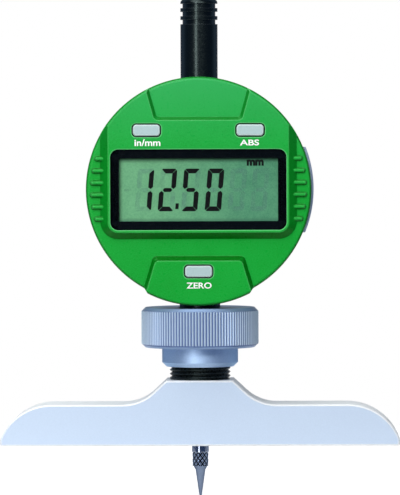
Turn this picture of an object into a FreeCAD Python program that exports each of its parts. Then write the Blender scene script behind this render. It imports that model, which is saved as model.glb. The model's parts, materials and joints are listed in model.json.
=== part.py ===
import FreeCAD, Part

import math
import os

# Digital depth gauge: a sprung digital indicator held by its stem in a clamp over a flat depth base.
# Millimetres. The origin is the centre of the base's measuring face, on the spindle axis.
# +X is to the right of the display, -Y towards the viewer, +Z up along the spindle.

# Clearances
FIT = 0.02
RUNNING = 0.05
SLIDING = 0.15
SEAT = 0.1

# How far cutters run past a surface, solids run into each other, and blind holes run past a screw
OVER = 1.0
ROOT = 0.5
HOLE_END = 0.4

# Depth base
BASE_LENGTH = 101.5
BASE_WIDTH = 17.0
SHOULDER_HEIGHT = 10.5
NECK_HEIGHT = 16.6
NECK_TOP = 17.0
NECK_SLOPE = 43.0
NECK_FILLET = 11.5
END_RADIUS = 14.3
END_FLAT = 1.8
EDGE_BREAK = 0.3
SPINDLE_HOLE = 6.5
SOCKET_DIAMETER = 12.0
SOCKET_DEPTH = 10.6

# Collet: threaded post below, tapered and slotted nose above
POST_DIAMETER = 15.5
POST_LENGTH = 9.9
NOSE_BOTTOM = 12.6
NOSE_TOP = 10.7
NOSE_SLOTS = 4
SLOT_WIDTH = 0.8
SLOT_BELOW_NOSE = 2.0
BORE_BELOW_STEM = 1.0

# Clamp nut
NUT_STANDOFF = 3.3
COLLAR_DIAMETER = 19.4
COLLAR_LENGTH = 4.9
COLLAR_CHAMFER = 1.1
RING_DIAMETER = 29.9
RING_LENGTH = 10.2
RING_CHAMFER = 1.0
KNURL_TEETH = 120
KNURL_DEPTH = 0.32
LID_THICKNESS = 1.8
LID_HOLE = 11.2

# Thrust ring inside the nut
THRUST_DIAMETER = 14.2
THRUST_FOOT = 0.7
THRUST_TAPER_GAP = 0.12

# Stem and bushes
STEM_DIAMETER = 8.0
STEM_LENGTH = 20.5
STEM_BORE = 5.8
SHOULDER_DIAMETER = 10.4
SHOULDER_SINK = 2.4
NOSE_STEP = 0.1
SPOT_DEPTH = 0.4
STEM_SCREW = 9.0
STEM_SCREW_LENGTH = 7.0
BOSS_OVER_SCREW = 2.0
BOSS_WALL = 2.0
HIGH_BOSS_LENGTH = 8.5
BUSH_LENGTH = 6.0
UPPER_BUSH = 7.0
SPIGOT_LENGTH = 3.5

# Indicator body. The sizes of its face are drawn for a radius of 28.5, and FACE makes them grow with it.
BODY_RADIUS = 28.5
FACE = BODY_RADIUS / 28.5
BODY_WALL = 1.5
CHIN_GAP = 0.8
CHIN_STEP = 0.2
CHIN_DROP = 1.05
RIM_ROUND = 0.8
EDGE_ROUND = 0.22
PARTING_Y = -6.0
FIELD_Y = -12.9
PLATEAU_RISE = 1.6
CHIN_RISE = 1.2
PLATE_SINK = 0.7
BACK_Y = 8.2
COVER_THICKNESS = 1.6
COVER_LEDGE = 0.9
RUN_OUT = 5.0

# Front facets, measured from the centre of the body
PLATEAU_HALF = 22.8 * FACE
PLATEAU_BOTTOM = 10.8 * FACE
PLATEAU_CORNER = 2.5
PLATEAU_SIDE_SLOPE = 2.05
PLATEAU_LOW_SLOPE = 1.66
PLATE_BASE_HALF = 11.1 * FACE
PLATE_BASE_Z = 17.5 * FACE
PLATE_LEAN = 15.5
PLATE_SLOPE = 0.85
PLATE_CORNER = 1.3
CHIN_TOP_HALF = 11.5 * FACE
CHIN_TOP_Z = -16.8 * FACE
CHIN_LEAN = 16.8
CHIN_SIDE_SLOPE = 0.95
CHIN_HIGH_SLOPE = 1.2
CHIN_CORNER = 1.2
CHIN_END_Z = -25.0 * FACE
CHIN_END_CUT = 32.0
RIB_COUNT = 6
RIB_PITCH = 3.05 * FACE
RIB_WIDTH = 1.3
RIB_INNER = 23.8 * FACE
RIB_REACH = 27.45 * FACE
RIB_MIDDLE_Z = 0.24

# Window and display
WINDOW_WIDTH = 44.5 * FACE
WINDOW_HEIGHT = 20.4 * FACE
WINDOW_CORNER = 2.0
LENS_SINK = 0.1
LENS_THICKNESS = 1.0
VIEW_WIDTH = 40.2 * FACE
VIEW_HEIGHT = 16.0 * FACE
VIEW_LIP = 1.0
VIEW_CORNER = 0.3
FRAME_FLANGE = 0.95
POCKET_CORNER = 3.2
FRAME_CORNER = 2.8
LCD_MARGIN = 1.2
LCD_THICKNESS = 1.6
ZEBRA_LENGTH = 38.0 * FACE
ZEBRA_THICKNESS = 1.6
ZEBRA_MARGIN = 1.0

# Circuit board
BOARD_FRONT_Y = -8.4
BOARD_THICKNESS = 1.0
BOARD_INSET = 6.1
BOARD_SCREW = 1.6
BOARD_SCREW_HEAD = 3.0
BOARD_SCREW_BITE = 2.0
BOARD_SCREW_LIFT = 1.0
BOARD_SCREW_RECESS = 0.5
BOARD_SCREW_PLACES = [
    (8.0 * FACE, 19.6 * FACE), (-8.0 * FACE, 19.6 * FACE),
    (15.2 * FACE, -13.7 * FACE), (-15.2 * FACE, -13.7 * FACE),
]
STANDOFF = 3.6
CHIP_SIZE = 7.0
CHIP_HEIGHT = 1.1
CHIP_CORNER = 0.4
CHIP_X = -13.5 * FACE
CHIP_Z = 7.0 * FACE

# Buttons
BUTTON_WIDTH = 6.84
BUTTON_HEIGHT = 2.85
BUTTON_CORNER = 0.85
BUTTON_BEVEL = 0.4
BUTTON_GAP = 0.33
BUTTON_PROUD = 0.35
BUTTON_TRAVEL = 0.55
FLANGE_RIM = 0.75
FLANGE_THICKNESS = 0.8
PLUNGER_WIDTH = 2.4
PLUNGER_HEIGHT = 1.6
DOME_DIAMETER = 5.2
DOME_HEIGHT = 0.9
BUTTON_PLACES = {
    "button_unit": (-13.05 * FACE, 15.0 * FACE),
    "button_abs": (13.1 * FACE, 15.0 * FACE),
    "button_zero": (0.0, -20.65 * FACE),
}

# Screws of the housing
SCREW_INSET = 3.5
CLOSE_ANGLE = 60.0
BACK_ANGLE = 38.0
COLUMN = 4.6
SCREW = 2.0
SCREW_HEAD = 3.6
SCREW_HEAD_HEIGHT = 1.4
SCREW_RECESS = 0.7
SCREW_RIM = 0.2
HEAD_DEPTH = 3.6
CLOSE_SCREW_BITE = 4.6
BACK_SCREW_LENGTH = 6.0

# Battery drawer
DRAWER_MIDDLE_Z = -0.2
DRAWER_MIDDLE_Y = -0.7
DRAWER_THICKNESS = 5.0
DRAWER_PROUD = 0.62
DRAWER_FRONT = 3.0
DRAWER_FACE_HALF = 10.9 * FACE
DRAWER_FACE_DEPTH = 3.7
DRAWER_FLOOR = 0.8
DRAWER_WALL = 0.5
DRAWER_LENGTH = 22.12 * FACE
DRAWER_MOUTH = 12.0 * FACE
DRAWER_EDGE = 0.4
CELL_DIAMETER = 20.0 * FACE
CELL_THICKNESS = 3.2
CELL_PROUD = 0.2
CELL_ROUND = 0.35
BAY_WALL = 1.2
BAY_FRONT_WALL = 0.8
BAY_BACK_WALL = 1.0
BAY_LIP = 1.5
CONTACT_SHEET = 0.2
CONTACT_WIDTH = 3.0
CONTACT_FOOT = 2.4
CONTACT_RISE = 1.2
LEAF_PAD = 1.5
LEAF_ARM = 2.6
LEAF_END = 1.0
LEAF_LIFT = 0.8

# Measuring spindle
SPINDLE_DIAMETER = 4.3
SPINDLE_DROP = 2.0
SPINDLE_TRAVEL = 13.6
SPINDLE_ABOVE_BUSH = 1.3
POINT_THREAD = 2.5
POINT_THREAD_LENGTH = 5.0
KNURL_DIAMETER = 4.08
KNURL_LENGTH = 3.6
KNURL_ROWS = 5
KNURL_DIAMONDS = 12
POINT_KNURL_DEPTH = 0.28
POINT_TAPER_LENGTH = 1.0
POINT_CONE_DIAMETER = 2.5
POINT_CONE_LENGTH = 6.4
POINT_TIP_RADIUS = 0.33
CARRIAGE_LENGTH = 10.0
CARRIAGE_HALF = 4.2
CARRIAGE_BACK = 3.2
CARRIAGE_LIFT = 3.5
CARRIAGE_SLIT = 0.6
CARRIAGE_ROUND = 1.0
PIN_BITE = 1.2
STRIP_HALF = 4.0
STRIP_THICKNESS = 0.6
STRIP_LENGTH = 28.0
STRIP_GAP = 0.3
PIN_DIAMETER = 1.5
PIN_REACH = 4.8
RAIL_NEAR = 7.0
RAIL_DEPTH = 3.0
RAIL_WIDTH = 4.4
RAIL_END = 3.0
SPRING_RADIUS = 3.1
SPRING_WIRE = 0.5
SPRING_TURNS = 8
SPRING_SIDES = 12

# Dust cap over the spindle's upper end
CAP_DIAMETER = 9.5
CAP_LENGTH = 20.4
CAP_TOP = 1.6
CAP_ROUND = 1.15
CAP_GROOVES = 3
CAP_GROOVE_DEPTH = 0.55
CAP_GROOVE_WIDTH = 1.12
CAP_LIP_WIDTH = 0.93
CAP_FIRST_GROOVE = 1.3

# Levels that follow from the sizes above
PLATEAU_Y = FIELD_Y - PLATEAU_RISE
CHIN_Y = FIELD_Y - CHIN_RISE
PLATE_Y = PLATEAU_Y + PLATE_SINK
LENS_Y = PLATEAU_Y + LENS_SINK
FRAME_Y = LENS_Y + LENS_THICKNESS
LCD_Y = FRAME_Y + VIEW_LIP
BOARD_BACK_Y = BOARD_FRONT_Y + BOARD_THICKNESS
SPINDLE_RADIUS = SPINDLE_DIAMETER / 2

NUT_BOTTOM = NECK_HEIGHT + NUT_STANDOFF
RING_BOTTOM = NUT_BOTTOM + COLLAR_LENGTH
NUT_TOP = RING_BOTTOM + RING_LENGTH
LID_Z = NUT_TOP - LID_THICKNESS
POST_TOP = NECK_HEIGHT + POST_LENGTH
SHOULDER_Z = NUT_TOP - SHOULDER_SINK
NOSE_Z = SHOULDER_Z - NOSE_STEP
STEM_BOTTOM = SHOULDER_Z - STEM_LENGTH
BORE_FLOOR = STEM_BOTTOM - BORE_BELOW_STEM
SOCKET_FLOOR = NECK_HEIGHT - SOCKET_DEPTH

CHIN_RADIUS = BODY_RADIUS - CHIN_STEP
BODY_Z = NUT_TOP + CHIN_GAP + CHIN_RADIUS + CHIN_DROP
SPOT_Z = BODY_Z - BODY_RADIUS + SPOT_DEPTH
LOW_BOSS_TOP = SPOT_Z + STEM_SCREW_LENGTH + BOSS_OVER_SCREW
HIGH_BOSS_BOTTOM = BODY_Z + BODY_RADIUS - HIGH_BOSS_LENGTH
CAP_SEAT = BODY_Z + math.sqrt(BODY_RADIUS ** 2 - (CAP_DIAMETER / 2) ** 2)
SPIGOT_TOP = CAP_SEAT + SPIGOT_LENGTH
CARRIAGE_Z = LOW_BOSS_TOP + CARRIAGE_LIFT
CARRIAGE_TOP = CARRIAGE_Z + CARRIAGE_LENGTH
SPINDLE_TOP = SPIGOT_TOP + SPINDLE_ABOVE_BUSH
STRIP_Y = BOARD_BACK_Y + STRIP_GAP
INNER_RADIUS = BODY_RADIUS - BODY_WALL
BOARD_RADIUS = BODY_RADIUS - BOARD_INSET
SCREW_RADIUS = BODY_RADIUS - SCREW_INSET
COVER_Y = BACK_Y - COVER_THICKNESS

DRAWER_Y0 = DRAWER_MIDDLE_Y - DRAWER_THICKNESS / 2
DRAWER_Y1 = DRAWER_MIDDLE_Y + DRAWER_THICKNESS / 2
DRAWER_Z = BODY_Z + DRAWER_MIDDLE_Z
DRAWER_OUTER = BODY_RADIUS + DRAWER_PROUD
DRAWER_OPEN_X = DRAWER_OUTER - DRAWER_LENGTH
CELL_X = DRAWER_OUTER - DRAWER_FRONT - CELL_DIAMETER / 2 - SLIDING
CELL_Y1 = DRAWER_Y1 - DRAWER_FLOOR - SEAT
CELL_Y0 = CELL_Y1 - CELL_THICKNESS
TRAY_HALF = CELL_DIAMETER / 2 + SLIDING + DRAWER_WALL
STOP_X = DRAWER_OUTER - DRAWER_FACE_DEPTH

FAR = 3 * BODY_RADIUS
V = FreeCAD.Vector


def box(x0, x1, y0, y1, z0, z1):
    return Part.makeBox(x1 - x0, y1 - y0, z1 - z0, V(x0, y0, z0))


def rod_x(diameter, x0, x1, y, z):
    return Part.makeCylinder(diameter / 2, x1 - x0, V(x0, y, z), V(1, 0, 0))


def rod_y(diameter, y0, y1, x=0.0, z=0.0):
    """A round rod along Y. x and z are measured from the centre of the indicator body."""
    return Part.makeCylinder(diameter / 2, y1 - y0, V(x, y0, BODY_Z + z), V(0, 1, 0))


def rod_z(diameter, z0, z1, x=0.0, y=0.0):
    return Part.makeCylinder(diameter / 2, z1 - z0, V(x, y, z0))


def cone_z(bottom, top, z0, z1):
    return Part.makeCone(bottom / 2, top / 2, z1 - z0, V(0, 0, z0))


def lathe(profile):
    """Revolve a closed outline of (radius, z) points about the spindle axis."""
    points = [V(r, 0, z) for r, z in profile]
    wire = Part.makePolygon(points + [points[0]])
    return Part.Face(wire).revolve(V(0, 0, 0), V(0, 0, 1), 360)


def round_outline(corners, y):
    """A closed wire through (x, z, radius) corners, at depth y, about the centre of the body."""
    edges = []
    ends = []
    count = len(corners)
    for i, (x, z, radius) in enumerate(corners):
        here = V(x, y, BODY_Z + z)
        before = corners[i - 1]
        after = corners[(i + 1) % count]
        to_before = (V(before[0], y, BODY_Z + before[1]) - here).normalize()
        to_after = (V(after[0], y, BODY_Z + after[1]) - here).normalize()
        half = to_before.getAngle(to_after) / 2
        reach = radius / math.tan(half)
        start = here + to_before * reach
        stop = here + to_after * reach
        inward = (to_before + to_after).normalize()
        middle = here + inward * (radius / math.sin(half) - radius)
        ends.append((start, middle, stop))
    for i, (start, middle, stop) in enumerate(ends):
        last = ends[i - 1][2]
        edges.append(Part.makeLine(last, start))
        edges.append(Part.Arc(start, middle, stop).toShape())
    return Part.Wire(edges)


def slab(corners, y0, y1):
    """A straight-sided plate of a rounded outline between two depths."""
    return Part.Face(round_outline(corners, y0)).extrude(V(0, y1 - y0, 0))


def sloped(low, low_y, high, high_y):
    """A raised form whose walls slope from its foot outline to its top outline."""
    return Part.makeLoft([round_outline(low, low_y), round_outline(high, high_y)], True, True)


def rectangle(width, height, corner, x=0.0, z=0.0):
    w = width / 2
    h = height / 2
    return [(x - w, z - h, corner), (x + w, z - h, corner),
            (x + w, z + h, corner), (x - w, z + h, corner)]


def edges_at(shape, y):
    """The edges that lie wholly at one depth."""
    box_of = [(edge, edge.BoundBox) for edge in shape.Edges]
    return [edge for edge, b in box_of if abs(b.YMin - y) < 1e-4 and abs(b.YMax - y) < 1e-4]


def drum(radius, front_y, back_y, drop=0.0):
    """A round slab of the body with its front edge rounded."""
    solid = rod_y(2 * radius, front_y, back_y, 0, -drop)
    return solid.makeFillet(RIM_ROUND, edges_at(solid, front_y))


def mirrored(shape):
    return shape.mirror(V(0, 0, 0), V(1, 0, 0))


def places(angle):
    """Four screw places on the screw circle, mirrored both ways from one angle."""
    x = SCREW_RADIUS * math.cos(math.radians(angle))
    z = SCREW_RADIUS * math.sin(math.radians(angle))
    return [(x, z), (-x, z), (x, -z), (-x, -z)]


def fuse(solids):
    return solids[0].multiFuse(solids[1:]).removeSplitter()


# Depth base and clamp

def make_base():
    half = BASE_LENGTH / 2
    y = -BASE_WIDTH / 2
    end_centre_z = SHOULDER_HEIGHT - END_RADIUS
    end_centre_x = half - math.sqrt(END_RADIUS ** 2 - (END_FLAT - end_centre_z) ** 2)
    slope = math.radians(NECK_SLOPE)
    fillet_z = SHOULDER_HEIGHT + NECK_FILLET * (1 - math.cos(slope))
    fillet_x = NECK_TOP / 2 + (NECK_HEIGHT - fillet_z) / math.tan(slope)
    fillet_end = fillet_x + NECK_FILLET * math.sin(slope)
    end_turn = math.atan2(END_FLAT - end_centre_z, half - end_centre_x)
    middle_turn = (end_turn + math.pi / 2) / 2
    end_middle = V(end_centre_x + END_RADIUS * math.cos(middle_turn), y,
                   end_centre_z + END_RADIUS * math.sin(middle_turn))
    neck_middle = V(fillet_end - NECK_FILLET * math.sin(slope / 2), y,
                    SHOULDER_HEIGHT + NECK_FILLET * (1 - math.cos(slope / 2)))

    def side(sign):
        def at(x, z):
            return V(sign * x, y, z)

        def turned(point):
            return V(sign * point.x, point.y, point.z)

        return [
            Part.makeLine(at(0, 0), at(half, 0)),
            Part.makeLine(at(half, 0), at(half, END_FLAT)),
            Part.Arc(at(half, END_FLAT), turned(end_middle), at(end_centre_x, SHOULDER_HEIGHT)).toShape(),
            Part.makeLine(at(end_centre_x, SHOULDER_HEIGHT), at(fillet_end, SHOULDER_HEIGHT)),
            Part.Arc(at(fillet_end, SHOULDER_HEIGHT), turned(neck_middle),
                     at(fillet_x, fillet_z)).toShape(),
            Part.makeLine(at(fillet_x, fillet_z), at(NECK_TOP / 2, NECK_HEIGHT)),
            Part.makeLine(at(NECK_TOP / 2, NECK_HEIGHT), at(0, NECK_HEIGHT)),
        ]

    outline = Part.Wire(Part.__sortEdges__(side(1) + side(-1)))
    block = Part.Face(outline).extrude(V(0, BASE_WIDTH, 0)).removeSplitter()
    block = block.makeChamfer(EDGE_BREAK, edges_at(block, y) + edges_at(block, -y))
    block = block.cut(rod_z(SPINDLE_HOLE, -OVER, NECK_HEIGHT + OVER))
    block = block.cut(cone_z(SPINDLE_HOLE + 2 * EDGE_BREAK, SPINDLE_HOLE, 0, EDGE_BREAK))
    return block.cut(rod_z(SOCKET_DIAMETER, SOCKET_FLOOR, NECK_HEIGHT + OVER))


def make_collet():
    plug = rod_z(SOCKET_DIAMETER - 2 * FIT, SOCKET_FLOOR, NECK_HEIGHT)
    post = rod_z(POST_DIAMETER, NECK_HEIGHT, POST_TOP)
    post = post.makeChamfer(EDGE_BREAK, [e for e in post.Edges if e.BoundBox.ZMin > POST_TOP - 0.01])
    nose = cone_z(NOSE_BOTTOM, NOSE_TOP, POST_TOP, NOSE_Z)
    collet = fuse([plug, post, nose])
    collet = collet.cut(rod_z(SPINDLE_HOLE, SOCKET_FLOOR - OVER, NOSE_Z))
    collet = collet.cut(rod_z(STEM_DIAMETER + 2 * RUNNING, BORE_FLOOR, NOSE_Z + OVER))
    slots = []
    for i in range(NOSE_SLOTS):
        slot = box(0, NOSE_BOTTOM, -SLOT_WIDTH / 2, SLOT_WIDTH / 2,
                   POST_TOP - SLOT_BELOW_NOSE, NOSE_Z + OVER)
        slot.rotate(V(0, 0, 0), V(0, 0, 1), 45 + 360 * i / NOSE_SLOTS)
        slots.append(slot)
    return collet.cut(slots)


def nose_radius(z):
    return (NOSE_BOTTOM + (NOSE_TOP - NOSE_BOTTOM) * (z - POST_TOP) / (NOSE_Z - POST_TOP)) / 2


def make_clamp_ring():
    low = POST_TOP + THRUST_FOOT
    high = LID_Z - SEAT
    inner_low = nose_radius(low) + THRUST_TAPER_GAP
    inner_high = nose_radius(NOSE_Z) + THRUST_TAPER_GAP
    outer = THRUST_DIAMETER / 2
    return lathe([(inner_low, low), (outer, low), (outer, high), (inner_high, high), (inner_high, NOSE_Z)])


def make_clamp_nut():
    outer = RING_DIAMETER / 2
    step = math.pi / KNURL_TEETH
    star = []
    for i in range(2 * KNURL_TEETH):
        radius = outer - KNURL_DEPTH * (i % 2)
        star.append(V(radius * math.cos(i * step), radius * math.sin(i * step), RING_BOTTOM))
    teeth = Part.Face(Part.makePolygon(star + [star[0]])).extrude(V(0, 0, RING_LENGTH))
    blank = lathe([
        (0, RING_BOTTOM), (outer - RING_CHAMFER, RING_BOTTOM), (outer, RING_BOTTOM + RING_CHAMFER),
        (outer, NUT_TOP - RING_CHAMFER), (outer - RING_CHAMFER, NUT_TOP), (0, NUT_TOP),
    ])
    ring = teeth.common(blank)
    collar = COLLAR_DIAMETER / 2
    neck = lathe([
        (0, NUT_BOTTOM), (collar - COLLAR_CHAMFER, NUT_BOTTOM), (collar, NUT_BOTTOM + COLLAR_CHAMFER),
        (collar, RING_BOTTOM), (0, RING_BOTTOM),
    ])
    nut = ring.fuse(neck)
    thread_top = POST_TOP + THRUST_FOOT / 2
    hollow = fuse([
        rod_z(POST_DIAMETER + 2 * RUNNING, NUT_BOTTOM - OVER, thread_top),
        rod_z(THRUST_DIAMETER + 2 * RUNNING, thread_top, LID_Z),
        rod_z(LID_HOLE, LID_Z, NUT_TOP + OVER),
    ])
    return nut.cut(hollow)


# Stem and bushes

def make_stem():
    screw_top = SPOT_Z + STEM_SCREW_LENGTH
    radius = STEM_DIAMETER / 2
    bore = STEM_BORE / 2
    return lathe([
        (bore, STEM_BOTTOM), (radius - EDGE_BREAK, STEM_BOTTOM), (radius, STEM_BOTTOM + EDGE_BREAK),
        (radius, SHOULDER_Z), (SHOULDER_DIAMETER / 2 - EDGE_BREAK, SHOULDER_Z),
        (SHOULDER_DIAMETER / 2, SHOULDER_Z + EDGE_BREAK), (SHOULDER_DIAMETER / 2, SPOT_Z),
        (STEM_SCREW / 2, SPOT_Z), (STEM_SCREW / 2, screw_top), (bore, screw_top),
    ])


def make_lower_bushing():
    bush = rod_z(STEM_BORE - 2 * FIT, STEM_BOTTOM + EDGE_BREAK, STEM_BOTTOM + EDGE_BREAK + BUSH_LENGTH)
    bore = SPINDLE_DIAMETER + 2 * RUNNING
    return bush.cut(rod_z(bore, STEM_BOTTOM - OVER, STEM_BOTTOM + BUSH_LENGTH + OVER))


def make_upper_bushing():
    bush = rod_z(UPPER_BUSH, HIGH_BOSS_BOTTOM, SPIGOT_TOP)
    bush = bush.makeChamfer(EDGE_BREAK, [e for e in bush.Edges if e.BoundBox.ZMin > SPIGOT_TOP - 0.01])
    return bush.cut(rod_z(SPINDLE_DIAMETER + 2 * RUNNING, HIGH_BOSS_BOTTOM - OVER, SPIGOT_TOP + OVER))


# Outlines of the front facets

def plateau_outline(spread, drop, corner):
    half = PLATEAU_HALF + spread
    return [(-half, -PLATEAU_BOTTOM - drop, corner), (half, -PLATEAU_BOTTOM - drop, corner),
            (half, BODY_RADIUS + RUN_OUT, 1.0), (-half, BODY_RADIUS + RUN_OUT, 1.0)]


def plate_outline(inset):
    """The sunk plate at the top of the plateau. It runs out over the rim."""
    lean = math.tan(math.radians(PLATE_LEAN))
    low = PLATE_BASE_Z + inset
    high = BODY_RADIUS + RUN_OUT
    half_low = PLATE_BASE_HALF - inset + inset * lean
    half_high = half_low + (high - low) * lean
    corner = PLATE_CORNER - inset / 2
    return [(-half_low, low, corner), (half_low, low, corner),
            (half_high, high, 1.0), (-half_high, high, 1.0)]


def chin_outline(side, top):
    lean = math.tan(math.radians(CHIN_LEAN))
    high = CHIN_TOP_Z - top
    low = -BODY_RADIUS - RUN_OUT
    half_high = CHIN_TOP_HALF - side + top * lean
    half_low = half_high + (high - low) * lean
    return [(-half_low, low, 1.0), (half_low, low, 1.0),
            (half_high, high, CHIN_CORNER), (-half_high, high, CHIN_CORNER)]


def make_plateau():
    foot = plateau_outline(PLATEAU_SIDE_SLOPE, PLATEAU_LOW_SLOPE, PLATEAU_CORNER + PLATEAU_SIDE_SLOPE)
    crown = plateau_outline(0, 0, PLATEAU_CORNER)
    form = sloped(foot, FIELD_Y, crown, PLATEAU_Y)
    form = form.makeFillet(EDGE_ROUND, edges_at(form, PLATEAU_Y))
    form = form.fuse(slab(foot, FIELD_Y, PARTING_Y))
    form = form.common(drum(BODY_RADIUS, PLATEAU_Y, PARTING_Y))
    recess = sloped(plate_outline(0), PLATEAU_Y, plate_outline(PLATE_SLOPE), PLATE_Y)
    above = slab(plate_outline(-0.01), PLATEAU_Y - OVER, PLATEAU_Y)
    form = form.cut(recess).cut(above)
    plate = slab(plate_outline(-ROOT), PLATE_Y, PARTING_Y).common(drum(BODY_RADIUS, PLATE_Y, PARTING_Y))
    trimmed = form.cut(slab(plate_outline(PLATE_SLOPE), PLATEAU_Y - OVER, PARTING_Y + OVER))
    return trimmed.fuse(plate)


def make_chin():
    """The raised chin, which reaches a little below the round body and covers the root of the stem."""
    form = sloped(chin_outline(0, 0), FIELD_Y, chin_outline(CHIN_SIDE_SLOPE, CHIN_HIGH_SLOPE), CHIN_Y)
    form = form.makeFillet(EDGE_ROUND, edges_at(form, CHIN_Y))
    form = form.fuse(slab(chin_outline(0, 0), FIELD_Y, PARTING_Y))
    form = form.common(drum(CHIN_RADIUS, CHIN_Y, PARTING_Y, CHIN_DROP))
    cutter = box(0, BODY_RADIUS, CHIN_Y - OVER, PARTING_Y + OVER, -BODY_RADIUS, BODY_RADIUS)
    cutter.rotate(V(0, 0, 0), V(0, 1, 0), CHIN_END_CUT)
    end_x = math.sqrt(BODY_RADIUS ** 2 - CHIN_END_Z ** 2)
    cutter.translate(V(end_x, 0, BODY_Z + CHIN_END_Z))
    cutter = cutter.cut(rod_y(2 * BODY_RADIUS, CHIN_Y - FAR, PARTING_Y + FAR))
    return form.cut([cutter, mirrored(cutter)])


def make_ribs():
    """Half-round grip ribs on the two sunk fields beside the window."""
    ribs = []
    for i in range(RIB_COUNT):
        z = RIB_MIDDLE_Z + (i - (RIB_COUNT - 1) / 2) * RIB_PITCH
        end = math.sqrt(RIB_REACH ** 2 - z ** 2) - RIB_WIDTH / 2
        bar = rod_x(RIB_WIDTH, RIB_INNER, end, FIELD_Y, BODY_Z + z)
        tip = Part.makeSphere(RIB_WIDTH / 2, V(end, FIELD_Y, BODY_Z + z))
        above = box(0, FAR, FIELD_Y - RIB_WIDTH, FIELD_Y + RIB_WIDTH / 4, BODY_Z - FAR, BODY_Z + FAR)
        rib = bar.fuse(tip).common(above)
        ribs += [rib, mirrored(rib)]
    return ribs


def button_level(name):
    """Depth of the face round a button and of the wall's inside behind it."""
    if name == "button_zero":
        return CHIN_Y, CHIN_Y + BODY_WALL
    return PLATEAU_Y, PLATEAU_Y + BODY_WALL


def make_front_bezel():
    shell = drum(BODY_RADIUS, FIELD_Y, PARTING_Y)
    shell = shell.fuse([make_plateau(), make_chin()] + make_ribs()).removeSplitter()
    inside_y = FIELD_Y + BODY_WALL
    pocket_y = PLATEAU_Y + BODY_WALL
    pocket_half = PLATEAU_HALF + PLATEAU_SIDE_SLOPE / 3
    pocket_low = PLATEAU_BOTTOM + PLATEAU_LOW_SLOPE / 3
    pocket = slab([(-pocket_half, -pocket_low, POCKET_CORNER), (pocket_half, -pocket_low, POCKET_CORNER),
                   (pocket_half, PLATE_BASE_Z - 0.5, 1.0), (-pocket_half, PLATE_BASE_Z - 0.5, 1.0)],
                  pocket_y, PARTING_Y + OVER)
    cavity = rod_y(2 * INNER_RADIUS, inside_y, PARTING_Y + OVER)
    cavity = cavity.fuse(pocket.common(rod_y(2 * INNER_RADIUS, pocket_y, PARTING_Y + OVER)))
    shell = shell.cut(cavity)
    bosses = []
    for x, z in places(CLOSE_ANGLE):
        bosses.append(rod_y(COLUMN, inside_y - ROOT, PARTING_Y, x, z))
    for x, z in BOARD_SCREW_PLACES:
        bosses.append(rod_y(STANDOFF, inside_y - ROOT, BOARD_FRONT_Y, x, z))
    shell = shell.fuse(bosses)
    cuts = [slab(rectangle(WINDOW_WIDTH, WINDOW_HEIGHT, WINDOW_CORNER), PLATEAU_Y - OVER, pocket_y + OVER)]
    for name, (x, z) in BUTTON_PLACES.items():
        face_y, wall_y = button_level(name)
        hole = rectangle(BUTTON_WIDTH + 2 * BUTTON_GAP, BUTTON_HEIGHT + 2 * BUTTON_GAP,
                         BUTTON_CORNER + BUTTON_GAP, x, z)
        room = 2 * (FLANGE_RIM + SLIDING)
        well = rectangle(BUTTON_WIDTH + room, BUTTON_HEIGHT + room, BUTTON_CORNER, x, z)
        cuts.append(slab(hole, face_y - OVER, wall_y + OVER))
        cuts.append(slab(well, wall_y, inside_y + ROOT))
    for x, z in places(CLOSE_ANGLE):
        cuts.append(rod_y(SCREW + 2 * FIT, PARTING_Y - CLOSE_SCREW_BITE - HOLE_END, PARTING_Y + OVER, x, z))
    for x, z in BOARD_SCREW_PLACES:
        cuts.append(rod_y(BOARD_SCREW + 2 * FIT, inside_y + HOLE_END, BOARD_FRONT_Y + OVER, x, z))
    return shell.cut(cuts).removeSplitter()


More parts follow.
